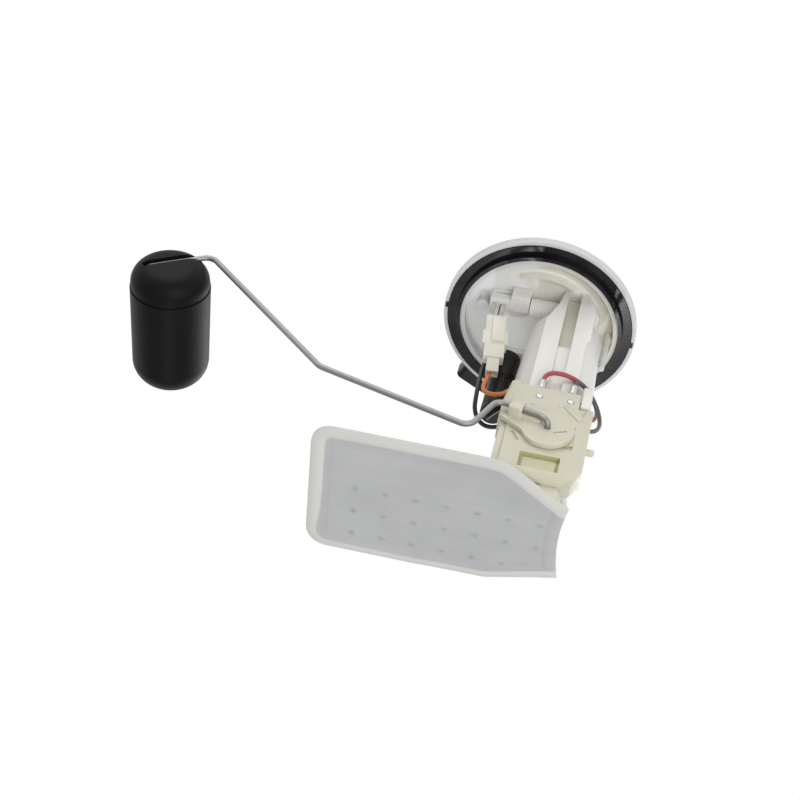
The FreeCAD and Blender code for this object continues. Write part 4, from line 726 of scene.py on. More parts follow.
def round_outline(middle: Flat, radius: float, sides: int = 48) -> list[Flat]:
    """Find the corners of a round outline.

    Args:
        middle: Its centre.
        radius: Its radius.
        sides: The number of corners.

    Returns:
        The corners.
    """
    steps = (2 * math.pi * index / sides for index in range(sides))
    return [(middle[0] + radius * math.cos(turn), middle[1] + radius * math.sin(turn)) for turn in steps]


def box_outline(left: float, low: float, right: float, high: float) -> list[Flat]:
    """The corners of an upright box outline."""
    return [(left, low), (right, low), (right, high), (left, high)]


def bar_outline(start: Flat, end: Flat, width: float) -> list[Flat]:
    """Find the corners of a slanted bar.

    Args:
        start: The middle of one end.
        end: The middle of the other end.
        width: The bar's width.

    Returns:
        The corners.
    """
    run = (Vector(end) - Vector(start)).normalized()
    side = Vector((-run.y, run.x)) * (width / 2)
    return [tuple(Vector(start) + side), tuple(Vector(start) - side), tuple(Vector(end) - side),
            tuple(Vector(end) + side)]


def spun(name: str, axis: Flat, profile: Sequence[Flat], steps: int = 72) -> bpy.types.Object:
    """Spin a closed profile round an upright axis.

    Args:
        name: The new object's name.
        axis: The axis' x and y, in millimetres.
        profile: Corners as radius and level, in millimetres.
        steps: The number of steps of a full turn.

    Returns:
        The turned solid.
    """
    bpy.ops.object.select_all(action="DESELECT")
    bpy.ops.mesh.primitive_circle_add(vertices=len(profile), radius=1.0, fill_type="NOTHING")
    piece = bpy.context.view_layer.objects.active
    piece.name = name
    for vertex, (radius, level) in zip(piece.data.vertices, profile):
        vertex.co = Vector((axis[0] + radius, axis[1], level)) * MM
    bpy.ops.object.mode_set(mode="EDIT")
    bpy.ops.mesh.select_all(action="SELECT")
    bpy.ops.mesh.spin(steps=steps, angle=2 * math.pi, center=(axis[0] * MM, axis[1] * MM, 0.0),
                      axis=(0.0, 0.0, 1.0))
    bpy.ops.mesh.select_all(action="SELECT")
    bpy.ops.mesh.remove_doubles(threshold=0.000005)
    bpy.ops.mesh.normals_make_consistent(inside=False)
    bpy.ops.object.mode_set(mode="OBJECT")
    return piece


@dataclass
class Holder:
    """The pump's white holder: a flared tube, two columns with a channel between them, a pipe and an arm.

    Sizes are in millimetres. Front outlines and the shelf are given from the tube's axis.
    """

    axis: Flat = (13.7, -3.1)
    top: float = 2.3
    front: float = -20.5
    profile: tuple[Flat, ...] = (
        (10.4, 2.3), (10.4, -0.6), (14.6, -10.2), (15.6, -12.6), (16.2, -14.6), (16.5, -17.0), (17.7, -52.0),
        (17.8, -98.0), (16.4, -98.0), (16.4, -88.0), (14.6, -88.0), (14.6, -45.5), (6.2, -45.5), (6.2, 2.3))
    columns: tuple[Flat, ...] = (
        (-4.1, 2.3), (-5.6, -8.0), (-10.0, -22.0), (-10.2, -75.0), (10.2, -75.0), (10.2, -29.0),
        (11.5, -27.0), (11.5, -9.0), (7.3, 2.3))
    columns_back: float = -6.6
    columns_round: Rounding = (0.8, 3)
    channel_sides: Flat = (-1.9, 3.9)
    channel_top: float = 4.0
    channel_floors: tuple[Flat, ...] = ((-38.5, -15.1), (-80.0, -18.8))
    channel_reach: float = 2.0
    shelf_bend: float = 7.3
    shelf_right: float = 13.2
    shelf_sides: Flat = (-6.3, 4.8)
    shelf_inset: float = 0.1
    shelf_drops: Flat = (1.8, 0.01)
    shelf_round: Rounding = (0.4, 2)
    pipe_centre: Flat = (-10.6, -2.3)
    pipe_radius: float = 4.5
    pipe_left: float = -4.9
    pipe_sunk: float = 5.0
    stem_radius: float = 6.2
    stem_levels: Flat = (-13.3, 4.0)
    arm: Slab = ((-17.0, -21.0, 8.0, -16.8), 2.5, 9.8)
    arm_round: Rounding = (0.6, 2)
    lug: tuple[Flat, ...] = (
        (26.9, -84.5), (31.3, -84.5), (31.3, -73.2), (30.6, -71.6), (29.3, -70.6), (27.9, -70.5),
        (26.9, -70.5))
    lug_depth: Flat = (-24.1, -11.4)
    lug_round: Rounding = (0.9, 3)

    def across(self, *spots: Flat) -> list[Flat]:
        """Shift front-view corners from the tube's axis into the module's frame."""
        return [(x + self.axis[0], z) for x, z in spots]

    def shelf(self) -> bpy.types.Object:
        """Make the shelf on the right of the tube's top.

        Returns:
            The shelf.
        """
        x, y = self.axis
        left = x + self.channel_sides[1]
        right = x + self.shelf_right
        near, far = (y + side for side in self.shelf_sides)
        ledge = self.front + self.shelf_inset
        low, high = (self.top - drop for drop in self.shelf_drops)
        outline = [(left, ledge), (x + self.shelf_bend, ledge), (right, near), (right, far), (left, far)]
        return softened(PLAN_VIEW.extruded("holder_shelf", outline, low, high), *self.shelf_round)

    def channels(self, piece: bpy.types.Object) -> None:
        """Cut the channel's two steps and the hole for the stem.

        Args:
            piece: The holder.
        """
        left, right = self.channel_sides
        for low, floor in self.channel_floors:
            outline = self.across(*box_outline(left, low, right, self.channel_top))
            channel = FRONT_VIEW.extruded("holder_channel", outline, self.front - self.channel_reach, floor)
            combined(piece, channel, Boolean.CUT)
        stem = PLAN_VIEW.extruded("holder_stem_hole", round_outline(self.axis, self.stem_radius),
                                  *self.stem_levels)
        combined(piece, stem, Boolean.CUT)

    def build(self) -> bpy.types.Object:
        """Build the holder.

        Returns:
            The holder, which stands for the plain CAD one.
        """
        x, y = self.axis
        piece = spun("holder_shell", self.axis, self.profile)
        columns = FRONT_VIEW.extruded("holder_columns", self.across(*self.columns), self.front,
                                      y + self.columns_back)
        combined(piece, softened(columns, *self.columns_round), Boolean.JOIN)
        combined(piece, self.shelf(), Boolean.JOIN)
        pipe = SIDE_VIEW.extruded("holder_pipe", round_outline(self.pipe_centre, self.pipe_radius, 40),
                                  self.pipe_left, x - self.pipe_sunk)
        combined(piece, pipe, Boolean.JOIN)
        self.channels(piece)
        arm = FRONT_VIEW.boxed("holder_arm", self.arm)
        combined(piece, softened(arm, *self.arm_round), Boolean.JOIN)
        lug = FRONT_VIEW.extruded("holder_lug", self.lug, *self.lug_depth)
        combined(piece, softened(lug, *self.lug_round), Boolean.JOIN)
        alone(piece)
        bpy.ops.object.mode_set(mode="EDIT")
        bpy.ops.mesh.select_all(action="SELECT")
        bpy.ops.mesh.fill_holes(sides=4)
        bpy.ops.object.mode_set(mode="OBJECT")
        return seat(smoothed(piece), Body.MODULE, HOLDER_RESIN, "pump_holder")


@dataclass
class Plug:
    """The harness plug under the flange, the block that it hangs from and the two blades between them.

    Sizes are in millimetres and degrees. The plug's own boxes lie in its tilted drawing.
    """

    root: Point = (-19.2, -13.4, -10.6)
    drop: float = 7.0
    lean: float = 17.6
    sway: float = 7.2
    block_outline: tuple[Flat, ...] = (
        (-23.4, -14.6), (-14.0, -14.6), (-14.0, -17.3), (-5.3, -17.3), (-5.3, -9.4), (-23.4, -9.4))
    block_levels: Flat = (-5.8, 2.55)
    block_slot: Slab = ((-21.4, -1.3, -14.2, 1.2), -15.0, -12.0)
    block_round: Rounding = (0.6, 3)
    blade_places: Flat = (-21.2, -17.0)
    blade_half: float = 1.1
    blade_sides: Flat = (-12.4, -11.6)
    blade_levels: Flat = (-18.8, -5.0)
    blade_round: Rounding = (0.15, 2)
    housing: Slab = ((-4.6, -8.6, 4.6, 0.0), -3.2, 3.2)
    steps: tuple[Slab, ...] = (
        ((-5.6, -15.8, 5.6, -8.6), -3.3, 3.3),
        ((-4.55, -22.8, 4.55, -15.7), -3.15, 3.15),
        ((-2.7, -30.2, 2.7, -22.7), -2.6, 2.6),
        ((-1.6, -14.6, 4.0, -1.2), -4.2, -3.1))
    mouths: tuple[Slab, ...] = (
        ((-3.6, -3.0, 3.6, 1.0), -2.0, 2.2),
        ((-2.2, -31.0, 2.2, -26.0), -1.5, 1.5))
    housing_round: Rounding = (0.35, 2)

    def drawing(self) -> Drawing:
        """Tilt a drawing plane with the plug.

        Returns:
            The plug's own drawing.
        """
        sway = Matrix.Rotation(-math.radians(self.sway), 3, "Y")
        tilt = sway @ Matrix.Rotation(math.radians(self.lean), 3, "X")
        axes = [tuple(tilt @ Vector(axis)) for axis in ((1, 0, 0), (0, 0, 1), (0, 1, 0))]
        start = Vector(self.root) - Vector(axes[1]) * self.drop
        return Drawing(tuple(start), *axes)

    def block(self) -> None:
        """Build the stepped block on the flange's underside."""
        piece = PLAN_VIEW.extruded("plug_block", self.block_outline, *self.block_levels)
        combined(piece, FRONT_VIEW.boxed("plug_block_slot", self.block_slot), Boolean.CUT)
        seat(softened(piece, *self.block_round), Body.MODULE, HOLDER_RESIN, "terminal_block")

    def blades(self) -> None:
        """Build the two blades that carry the plug."""
        piece = None
        near, far = self.blade_sides
        for x in self.blade_places:
            outline = box_outline(x - self.blade_half, near, x + self.blade_half, far)
            blade = PLAN_VIEW.extruded("plug_blades", outline, *self.blade_levels)
            piece = combined(piece, blade, Boolean.JOIN) if piece else blade
        seat(softened(piece, *self.blade_round), Body.MODULE, TINNED_BLADE, "terminal_blades")

    def build(self) -> None:
        """Build the block, the blades and the plug."""
        self.block()
        self.blades()
        view = self.drawing()
        piece = view.boxed("plug_housing", self.housing)
        for step in self.steps:
            combined(piece, view.boxed("plug_step", step), Boolean.JOIN)
        for mouth in self.mouths:
            combined(piece, view.boxed("plug_opening", mouth), Boolean.CUT)
        seat(softened(piece, *self.housing_round), Body.MODULE, PLUG_RESIN, "harness_plug")


@dataclass
class Sender:
    """The level sender's base with its window, slots and rib, two rivet heads and two crimped terminals.

    Sizes are in millimetres, in the module's frame. Cuts, marks, slots and tongues are given from the face.
    """

    face: float = -25.0
    back: float = -14.0
    low: float = -133.6
    top: float = -77.3
    ear: float = -75.2
    front_outline: tuple[Flat, ...] = (
        (-1.2, low), (25.6, low), (29.8, -131.0), (32.9, -125.6), (32.9, -86.4), (30.0, -86.4), (28.8, -91.0),
        (26.6, -87.0), (26.6, top), (1.3, top), (1.3, ear), (-2.6, ear), (-4.2, -89.9), (-4.2, -97.0),
        (-1.2, -101.0))
    front_back: float = -19.6
    front_round: Rounding = (0.9, 3)
    rear_outline: tuple[Flat, ...] = (
        (-3.8, low), (25.0, low), (29.4, -130.8), (32.5, -125.4), (32.5, -86.4), (26.6, -86.4), (26.6, top),
        (1.3, top), (1.3, ear), (-3.2, ear), (-5.0, -90.0), (-5.0, -103.0), (-3.8, -105.0))
    rear_front: float = -24.1
    rear_round: Rounding = (0.5, 2)
    round_bottom: float = 3.6
    corner_sides: Flat = (-7.0, 36.0)
    saddle: Flat = (13.7, -3.1)
    saddle_radius: float = 18.1
    cuts: tuple[tuple[list[Flat], float], ...] = (
        (box_outline(7.0, -129.8, 23.4, -120.6), 2.4),
        (box_outline(8.1, -116.1, 23.3, -109.9), 0.9),
        (box_outline(20.8, -114.7, 27.3, -111.7), 0.85),
        (round_outline((15.7, -106.1), 3.55), 4.5),
        (bar_outline((4.0, -104.2), (7.8, -108.5), 1.6), 0.9),
        (bar_outline((1.3, -109.0), (4.7, -114.5), 1.6), 0.9),
        (round_outline((26.6, -100.4), 0.4, 16), 1.0))
    lead_holes: tuple[Flat, ...] = ((-1.1, -19.8), (-1.1, -16.4))
    lead_hole_radius: float = 1.15
    lead_hole_depth: float = 6.0
    foot_outline: tuple[Flat, ...] = (
        (-2.0, -20.6), (24.6, -20.6), (26.4, -18.8), (26.4, -14.6), (-2.0, -14.6))
    foot_levels: Flat = (-140.3, low + 0.4)
    foot_round: Rounding = (0.5, 2)
    marks: tuple[tuple[Sequence[Flat], float, float], ...] = (
        (box_outline(8.4, -130.0, 22.2, -123.0), 0.8, 2.6),
        (((20.4, -88.2), (22.4, -86.6), (29.4, -94.1), (27.4, -95.7)), -0.6, 0.5),
        (box_outline(6.9, -90.0, 8.9, -88.0), -0.3, 0.5),
        (bar_outline((17.4, -87.4), (21.0, -89.0), 0.6), -0.3, 0.5))
    mark_round: Rounding = (0.2, 2)
    peg_centre: Flat = (-20.0, -108.0)
    peg_radius: float = 1.5
    peg_ends: Flat = (32.0, 36.2)
    peg_round: Rounding = (0.9, 4)
    rivets: Flat = (9.5, 22.8)
    rivet_level: float = -83.6
    rivet_radius: float = 1.5
    rivet_ends: Flat = (-0.4, 1.1)
    rivet_round: Rounding = (0.45, 4)
    rivet_hole_radius: float = 1.6
    rivet_hole_depth: float = 1.2
    barrel_depth: float = 1.8
    barrel_profile: tuple[Flat, ...] = (
        (0.0, -76.9), (1.2, -76.9), (1.7, -76.0), (1.5, -74.4), (1.7, -73.2), (1.7, -71.6), (1.25, -70.72),
        (0.0, -70.72))
    fold_half: float = 0.18
    fold_levels: Flat = (-76.4, -71.0)
    fold_floor: float = -24.4
    tongue_half: float = 1.0
    tongue_sides: Flat = (1.5, 2.1)
    tongue_top: float = -76.0
    tongue_rise: float = 1.2
    slot_half: float = 1.1
    slot_sides: Flat = (1.4, 2.2)

    def plates(self) -> bpy.types.Object:
        """Join the two plates and round the front one's lower edge.

        Returns:
            The joined plates.
        """
        piece = FRONT_VIEW.extruded("sender_front", self.front_outline, self.face, self.front_back)
        softened(piece, *self.front_round)
        rear = FRONT_VIEW.extruded("sender_rear", self.rear_outline, self.rear_front, self.back)
        combined(piece, softened(rear, *self.rear_round), Boolean.JOIN)
        radius = self.round_bottom
        turns = [math.radians(180 + 15 * step) for step in range(7)]
        arc = [(self.face + radius * (1 + math.cos(turn)), self.low + radius * (1 + math.sin(turn)))
               for turn in turns]
        below = self.low - 1
        corner = [(self.face - 1, below), (self.face - 1, arc[0][1]), *arc, (arc[-1][0], below)]
        return combined(piece, SIDE_VIEW.extruded("sender_corner", corner, *self.corner_sides), Boolean.CUT)

    def openings(self, piece: bpy.types.Object) -> None:
        """Cut the saddle, the window, the slots and the seats of the pieces that the base holds.

        Args:
            piece: The base.
        """
        face = self.face
        saddle = PLAN_VIEW.extruded("sender_saddle", round_outline(self.saddle, self.saddle_radius, 96),
                                    self.low - 2, self.top + 2)
        combined(piece, saddle, Boolean.CUT)
        holes = (round_outline((x, self.rivet_level), self.rivet_hole_radius, 32) for x in self.rivets)
        seats = tuple((hole, self.rivet_hole_depth) for hole in holes)
        for outline, depth in self.cuts + seats:
            cutter = FRONT_VIEW.extruded("sender_opening", outline, face - 1, face + depth)
            combined(piece, cutter, Boolean.CUT)
        near, far = (face + side for side in self.slot_sides)
        for x in self.rivets:
            outline = box_outline(x - self.slot_half, near, x + self.slot_half, far)
            slot = PLAN_VIEW.extruded("sender_crimp_slot", outline, self.rivet_level + 1, self.top + 1)
            combined(piece, slot, Boolean.CUT)
        for centre in self.lead_holes:
            hole = PLAN_VIEW.extruded("sender_lead_hole", round_outline(centre, self.lead_hole_radius, 24),
                                      self.top - self.lead_hole_depth, self.ear + 1)
            combined(piece, hole, Boolean.CUT)

    def raised(self, piece: bpy.types.Object) -> None:
        """Add the foot on the strainer, the window's platform, the rib, the small marks and the peg.

        Args:
            piece: The base.
        """
        foot = PLAN_VIEW.extruded("sender_foot", self.foot_outline, *self.foot_levels)
        combined(piece, softened(foot, *self.foot_round), Boolean.JOIN)
        for outline, near, far in self.marks:
            step = FRONT_VIEW.extruded("sender_raised", outline, self.face + near, self.face + far)
            combined(piece, softened(step, *self.mark_round), Boolean.JOIN)
        peg = SIDE_VIEW.extruded("sender_peg", round_outline(self.peg_centre, self.peg_radius, 32),
                                 *self.peg_ends)
        combined(piece, softened(peg, *self.peg_round), Boolean.JOIN)

    def rivet_head(self, x: float) -> bpy.types.Object:
        """Make one domed rivet head.

        Args:
            x: Where it sits across the base.

        Returns:
            The head.
        """
        near, far = (self.face + end for end in self.rivet_ends)
        head = FRONT_VIEW.extruded("rivet_heads", round_outline((x, self.rivet_level), self.rivet_radius, 32),
                                   near, far)
        return softened(head, *self.rivet_round)

    def crimp_barrel(self, x: float) -> bpy.types.Object:
        """Make one crimped barrel with the tongue that goes down to its rivet.

        Args:
            x: Where it stands across the base.

        Returns:
            The barrel.
        """
        barrel = spun("crimp_barrels", (x, self.face + self.barrel_depth), self.barrel_profile, 32)
        low, high = self.fold_levels
        outline = box_outline(x - self.fold_half, low, x + self.fold_half, high)
        fold = FRONT_VIEW.extruded("crimp_fold", outline, self.face, self.fold_floor)
        combined(barrel, fold, Boolean.CUT)
        near, far = (self.face + side for side in self.tongue_sides)
        outline = box_outline(x - self.tongue_half, near, x + self.tongue_half, far)
        tongue = PLAN_VIEW.extruded("crimp_tongue", outline, self.rivet_level + self.tongue_rise,
                                    self.tongue_top)
        return combined(barrel, tongue, Boolean.JOIN)

    def terminals(self) -> None:
        """Build the rivet heads and the crimped terminals."""
        heads = None
        barrels = None
        for x in self.rivets:
            head = self.rivet_head(x)
            heads = combined(heads, head, Boolean.JOIN) if heads else head
            barrel = self.crimp_barrel(x)
            barrels = combined(barrels, barrel, Boolean.JOIN) if barrels else barrel
        for piece, node in ((heads, "sender_rivets"), (barrels, "crimp_terminals")):
            seat(smoothed(piece), Body.MODULE, CRIMPED_TIN, node)

    def build(self) -> bpy.types.Object:
        """Build the base and what is riveted to it.

        Returns:
            The base, which stands for the plain CAD one.
        """
        piece = self.plates()
        self.openings(piece)
        self.raised(piece)
        self.terminals()
        return seat(smoothed(piece), Body.MODULE, SENDER_RESIN, "sender_base")


@dataclass
class Lever:
    """The sender's round lever with its arm, and the saddle and strap that hold the wire.

    Sizes are in millimetres and degrees, from the pivot in the lever's own tilt. Depths are the module's y.
    """

    pivot: Point = (15.7, 0.0, -106.1)
    tilt: float = 12.5
    radius: float = 10.9
    face: float = -27.6
    back: float = -25.3
    arm: tuple[Flat, ...] = ((0.0, -9.4), (-20.6, -1.8), (-21.0, 2.0), (-20.6, 5.7), (0.0, 10.2))
    saddle: Slab = ((-17.0, 0.2, -3.6, 4.0), -29.3, face + 0.5)
    strap: Slab = ((-17.4, -1.2, -11.6, 5.4), -32.9, face + 0.5)
    strap_round: Rounding = (0.7, 3)
    bore_centre: Flat = (2.1, -30.6)
    bore_radius: float = 1.3
    bore_ends: Flat = (-19.0, -10.0)
    wire_radius: float = 1.4
    wire_depth: Flat = (-30.0, -24.0)
    slot: tuple[Flat, ...] = ((2.9, -1.6), (3.5, -2.4), (8.1, 1.0), (7.5, 1.9))
    slot_depth: Flat = (-28.4, -26.9)
    spindle_radius: float = 3.5
    spindle_end: float = -22.1
    edge_round: Rounding = (0.7, 3)
    edge_angle: float = 50.0

    def build(self) -> bpy.types.Object:
        """Build the lever.

        Returns:
            The lever, which stands for the plain CAD one.
        """
        centre = (0.0, 0.0)
        turn = Matrix.Rotation(math.radians(self.tilt), 3, "Y")
        axes = [tuple(turn @ Vector(axis)) for axis in ((1, 0, 0), (0, 0, 1))]
        view = Drawing(self.pivot, *axes, (0.0, 1.0, 0.0))
        piece = view.extruded("lever_disc", round_outline(centre, self.radius, 72), self.face, self.back)
        combined(piece, view.extruded("lever_arm", self.arm, self.face, self.back), Boolean.JOIN)
        width, segments = self.edge_round
        apply_modifier(piece, "BEVEL", width=width * MM, segments=segments, limit_method="ANGLE",
                       angle_limit=math.radians(self.edge_angle))
        combined(piece, view.boxed("lever_saddle", self.saddle), Boolean.JOIN)
        strap = view.boxed("lever_strap", self.strap)
        along = Drawing(self.pivot, axes[1], (0.0, 1.0, 0.0), axes[0])
        bore = along.extruded("lever_strap_bore", round_outline(self.bore_centre, self.bore_radius, 24),
                              *self.bore_ends)
        combined(strap, bore, Boolean.CUT)
        combined(piece, softened(strap, *self.strap_round), Boolean.JOIN)
        hole = view.extruded("lever_wire_hole", round_outline(centre, self.wire_radius, 24), *self.wire_depth)
        combined(piece, hole, Boolean.CUT)
        combined(piece, view.extruded("lever_slot", self.slot, *self.slot_depth), Boolean.CUT)
        spindle = view.extruded("lever_spindle", round_outline(centre, self.spindle_radius, 36),
                                self.back - 0.3, self.spindle_end)
        combined(piece, spindle, Boolean.JOIN)
        return seat(smoothed(piece), Body.FLOAT_ARM, SENDER_RESIN, "float_lever")


@dataclass
class Strainer:
    """The pillow of filter cloth: two woven sheets on a spacer, welded together round their border.

    Sizes are in millimetres, in the module's frame.
    """

    left: float = -74.2
    right: float = 31.0
    front: float = -35.3
    back: float = 28.8
    corner: float = 9.0
    bevel_start: float = 4.8
    bevel_level: float = -18.4
    bevel_run: float = 1.5
    tip_back: float = 20.4
    tip_cut: float = 1.5
    ease: float = 2.2
    ease_x: float = 1.8
    ease_drop: float = 1.2
    swell: float = 0.55
    hollow: float = 2.3
    roof: float = -134.3
    seam: float = -140.9
    rim_half: float = 0.35
    floor_border: float = 5.5
    roof_border: float = 7.5
    crown_reach: float = 14.0
    crown: float = 0.45
    floor_sag: float = 0.42
    weld_width: float = 3.2
    fold_inset: float = 8.6
    columns: int = 230
    rows: int = 150
    waves: int = 9
    wave_turn: float = 0.35
    wave_lengths: Flat = (14.0, 46.0)
    wave_heights: Flat = (0.03, 0.10)
    floor_relief: float = 0.7
    floor_seed: int = 3
    roof_seed: int = 5
    pin_seed: int = 11
    pin_stretch: Flat = (0.8, 1.25)
    pin_turn: float = 0.6
    pin_size: Flat = (1.25, 0.95)
    pin_shade: Flat = (0.65, 1.0)
    pin_pull: Flat = (0.28, 3.0)
    pin_basin: Flat = (0.12, 16.0)
    pins: tuple[Flat, ...] = tuple(
        (-54.8 + 12.6 * column, -5.8 + 12.2 * row) for column in range(7) for row in range(3)
        if (column, row) != (6, 2))
    eye: Point = (13.7, -3.1, 8.5)

    def edge_front(self, x: np.ndarray) -> np.ndarray:
        """Follow the front edge: a rounded corner, a straight run and a bevel.

        Args:
            x: Places along the strainer.

        Returns:
            The edge's y at each place.
        """
        slope = (self.bevel_level - self.front) / (self.right - self.bevel_run - self.bevel_start)
        line = self.front + slope * self.ease * np.logaddexp(0.0, (x - self.bevel_start) / self.ease)
        inside = np.clip(self.corner - (x - self.left), 0, self.corner)
        return line + self.corner - np.sqrt(self.corner ** 2 - inside ** 2)

    def edge_back(self, x: np.ndarray) -> np.ndarray:
        """Follow the back edge: a rounded corner and a slow curve inwards.

        Args:
            x: Places along the strainer.

        Returns:
            The edge's y at each place.
        """
        places = [self.left, self.ease_x - 30.0, self.ease_x, self.right]
        levels = [self.back, self.back, self.back - self.ease_drop, self.tip_back]
        line = np.interp(x, places, levels)
        line += self.swell * np.exp(-((x - self.ease_x) / 14.0) ** 2)
        inside = np.clip(self.corner - (x - self.left), 0, self.corner)
        return line - self.corner + np.sqrt(self.corner ** 2 - inside ** 2)

    def flat_grid(self) -> np.ndarray:
        """Lay out the cloth's points before it rises.

        Returns:
            Points inside the outline, in rows from front to back.
        """
        def eased(count: int) -> np.ndarray:
            """Places from 0 to 1, closer together near both ends."""
            line = np.linspace(0.0, 1.0, count)
            return 0.62 * line + 0.38 * (0.5 - 0.5 * np.cos(math.pi * line))
        along, across = np.meshgrid(eased(self.columns), eased(self.rows))
        x = self.left + along * (self.right - self.left)
        low, high = self.edge_front(x), self.edge_back(x)
        y = low + across * (high - low)
        middle = (self.bevel_level + self.tip_back) / 2
        half = (self.tip_back - self.bevel_level) / 2
        dent = self.hollow * np.clip(1.0 - ((y - middle) / half) ** 2, 0, 1)
        tip = self.tip_cut * np.clip((self.bevel_level - y) / 3.0 + 0.5, 0, 1)
        x = self.left + along * (self.right - dent - tip - self.left)
        return np.stack([x, y], axis=-1)

    def inset(self, flat: np.ndarray, tip: bool = True) -> np.ndarray:
        """Measure each point's distance from the outline.

        Args:
            flat: The grid of points.
            tip: Whether the hollow edge at the tip counts as outline.

        Returns:
            The distances.
        """
        ring = np.concatenate([flat[0], flat[1:, -1], flat[-1, -2::-1], flat[-2:0:-1, 0]])
        starts, runs = ring, np.roll(ring, -1, axis=0) - ring
        if not tip:
            kept = np.ones(len(ring), dtype=bool)
            kept[flat.shape[1] - 1:flat.shape[1] + flat.shape[0] - 2] = False
            starts, runs = starts[kept], runs[kept]
        lengths = np.maximum((runs ** 2).sum(axis=1), 1e-9)
        spots = flat.reshape(-1, 2)
        best = np.full(len(spots), 1e9)
        for start, run, length in zip(starts, runs, lengths):
            offset = spots - start
            share = np.clip((offset @ run) / length, 0, 1)
            best = np.minimum(best, ((offset - share[:, None] * run) ** 2).sum(axis=1))
        return np.sqrt(best).reshape(flat.shape[:2])

    def relief(self, flat: np.ndarray, seed: int) -> np.ndarray:
        """Draw slow waves and faint pulls in the cloth.

        Args:
            flat: The grid of points.
            seed: What the draws start from.

        Returns:
            The height of the waves at each point.
        """
        maker = np.random.default_rng(seed)
        x, y = flat[..., 0], flat[..., 1]
        total = np.zeros(x.shape)
        for _ in range(self.waves):
            angle = maker.normal(0.0, self.wave_turn)
            length = maker.uniform(*self.wave_lengths)
            phase = maker.uniform(0, 2 * math.pi)
            height = maker.uniform(*self.wave_heights)
            across = y * math.cos(angle) + x * math.sin(angle)
            total += height * np.sin(2 * math.pi * across / length + phase)
        return total

    def welded(self, flat: np.ndarray) -> np.ndarray:
        """Widen the weld towards the front and the left end.

        Args:
            flat: The grid of points.

        Returns:
            How much each point belongs to the weld, from 0 to 1.
        """
        x, y = flat[..., 0], flat[..., 1]
        wide = self.weld_width + 2.0 / (1.0 + np.exp((y - 14.0) / 4.0)) + 1.2 * np.exp((self.left - x) / 7.0)
        return np.clip((wide - self.inset(flat, tip=False)) / 0.9 + 0.5, 0, 1)

    def skin(self, flat: np.ndarray, inset: np.ndarray,
             roof: bool) -> tuple[np.ndarray, np.ndarray, np.ndarray]:
        """Shape one sheet of the pillow.

        Args:
            flat: The grid of points.
            inset: Their distances from the outline.
            roof: Whether this is the upper sheet.

        Returns:
            The heights, the weld shares and the shares of painted shade at the pins and the fold.
        """
        border = self.roof_border if roof else self.floor_border
        climb = np.clip(inset / border, 0, 1)
        inner = np.clip((inset - border) / self.crown_reach, 0, 1)
        if roof:
            full = self.roof - self.seam - self.rim_half - 0.55
            rise = self.rim_half + full * np.sin(0.5 * math.pi * climb)
            rise = rise + self.crown * np.sin(0.5 * math.pi * inner)
        else:
            rise = self.rim_half + self.floor_sag * np.sin(math.pi * climb) ** 0.7
        seed, share = (self.roof_seed, 1.0) if roof else (self.floor_seed, self.floor_relief)
        rise += self.relief(flat, seed) * inner * share
        # A darker line along the fold and dark spots in the dimples round each pin: painted shade for the
        # floor sheet's material.
        line = np.exp(-((flat[..., 0] - self.left - self.fold_inset) / 0.4) ** 2)
        pin_and_fold_shade = 0.22 * (line * np.clip((inset - 6.0) / 3.0, 0, 1))
        maker = np.random.default_rng(self.pin_seed)
        pull, pull_reach = self.pin_pull
        basin, basin_reach = self.pin_basin
        for pin_x, pin_y in self.pins:
            stretch = maker.uniform(*self.pin_stretch)
            turn = maker.uniform(-self.pin_turn, self.pin_turn)
            dx, dy = flat[..., 0] - pin_x, flat[..., 1] - pin_y
            u = (dx * math.cos(turn) + dy * math.sin(turn)) / (self.pin_size[0] * stretch)
            v = (dy * math.cos(turn) - dx * math.sin(turn)) / (self.pin_size[1] / stretch)
            spot = np.exp(-(u * u + v * v))
            pin_and_fold_shade = np.maximum(pin_and_fold_shade, spot * maker.uniform(*self.pin_shade))
            apart = dx * dx + dy * dy
            rise += pull * np.exp(-apart / pull_reach) - basin * np.exp(-apart / basin_reach)
        level = self.seam + rise if roof else self.seam - rise
        return level, self.welded(flat), pin_and_fold_shade * (0.0 if roof else 1.0)

    def opened(self, piece: bpy.types.Object) -> None:
        """Open the roof where the neck goes in.

        Args:
            piece: The pillow.
        """
        x, y, radius = self.eye
        shape = bmesh.new()
        shape.from_mesh(piece.data)
        hole = []
        for face in shape.faces:
            middle = face.calc_center_median() / MM
            if face.normal.z > 0.5 and math.hypot(middle.x - x, middle.y - y) < radius:
                hole.append(face)
        bmesh.ops.delete(shape, geom=hole, context="FACES")
        shape.to_mesh(piece.data)
        shape.free()

    def build(self) -> bpy.types.Object:
        """Build the pillow and set it on the module.

        Returns:
            The pillow, which stands for the plain CAD one.
        """
        flat = self.flat_grid()
        inset = self.inset(flat)
        sheets = []
        for roof in (False, True):
            level, weld, pin_and_fold_shade = self.skin(flat, inset, roof)
            points = np.concatenate([flat, level[..., None]], axis=-1) * MM
            if not roof:
                points = points[::-1]
                weld, pin_and_fold_shade = weld[::-1], pin_and_fold_shade[::-1]
            sheet = from_grid(f"cloth_{'roof' if roof else 'floor'}", points)
            for name, values in (("weld", weld), ("pin_and_fold_shade", pin_and_fold_shade)):
                layer = sheet.data.attributes.new(name, "FLOAT", "POINT")
                layer.data.foreach_set("value", values.astype(np.float32).ravel())
            sheets.append(sheet)
        piece = self.sewn(sheets)
        self.opened(piece)
        piece.data.shade_smooth()
        return seat(piece, Body.MODULE, FILTER_CLOTH, "strainer_bag")

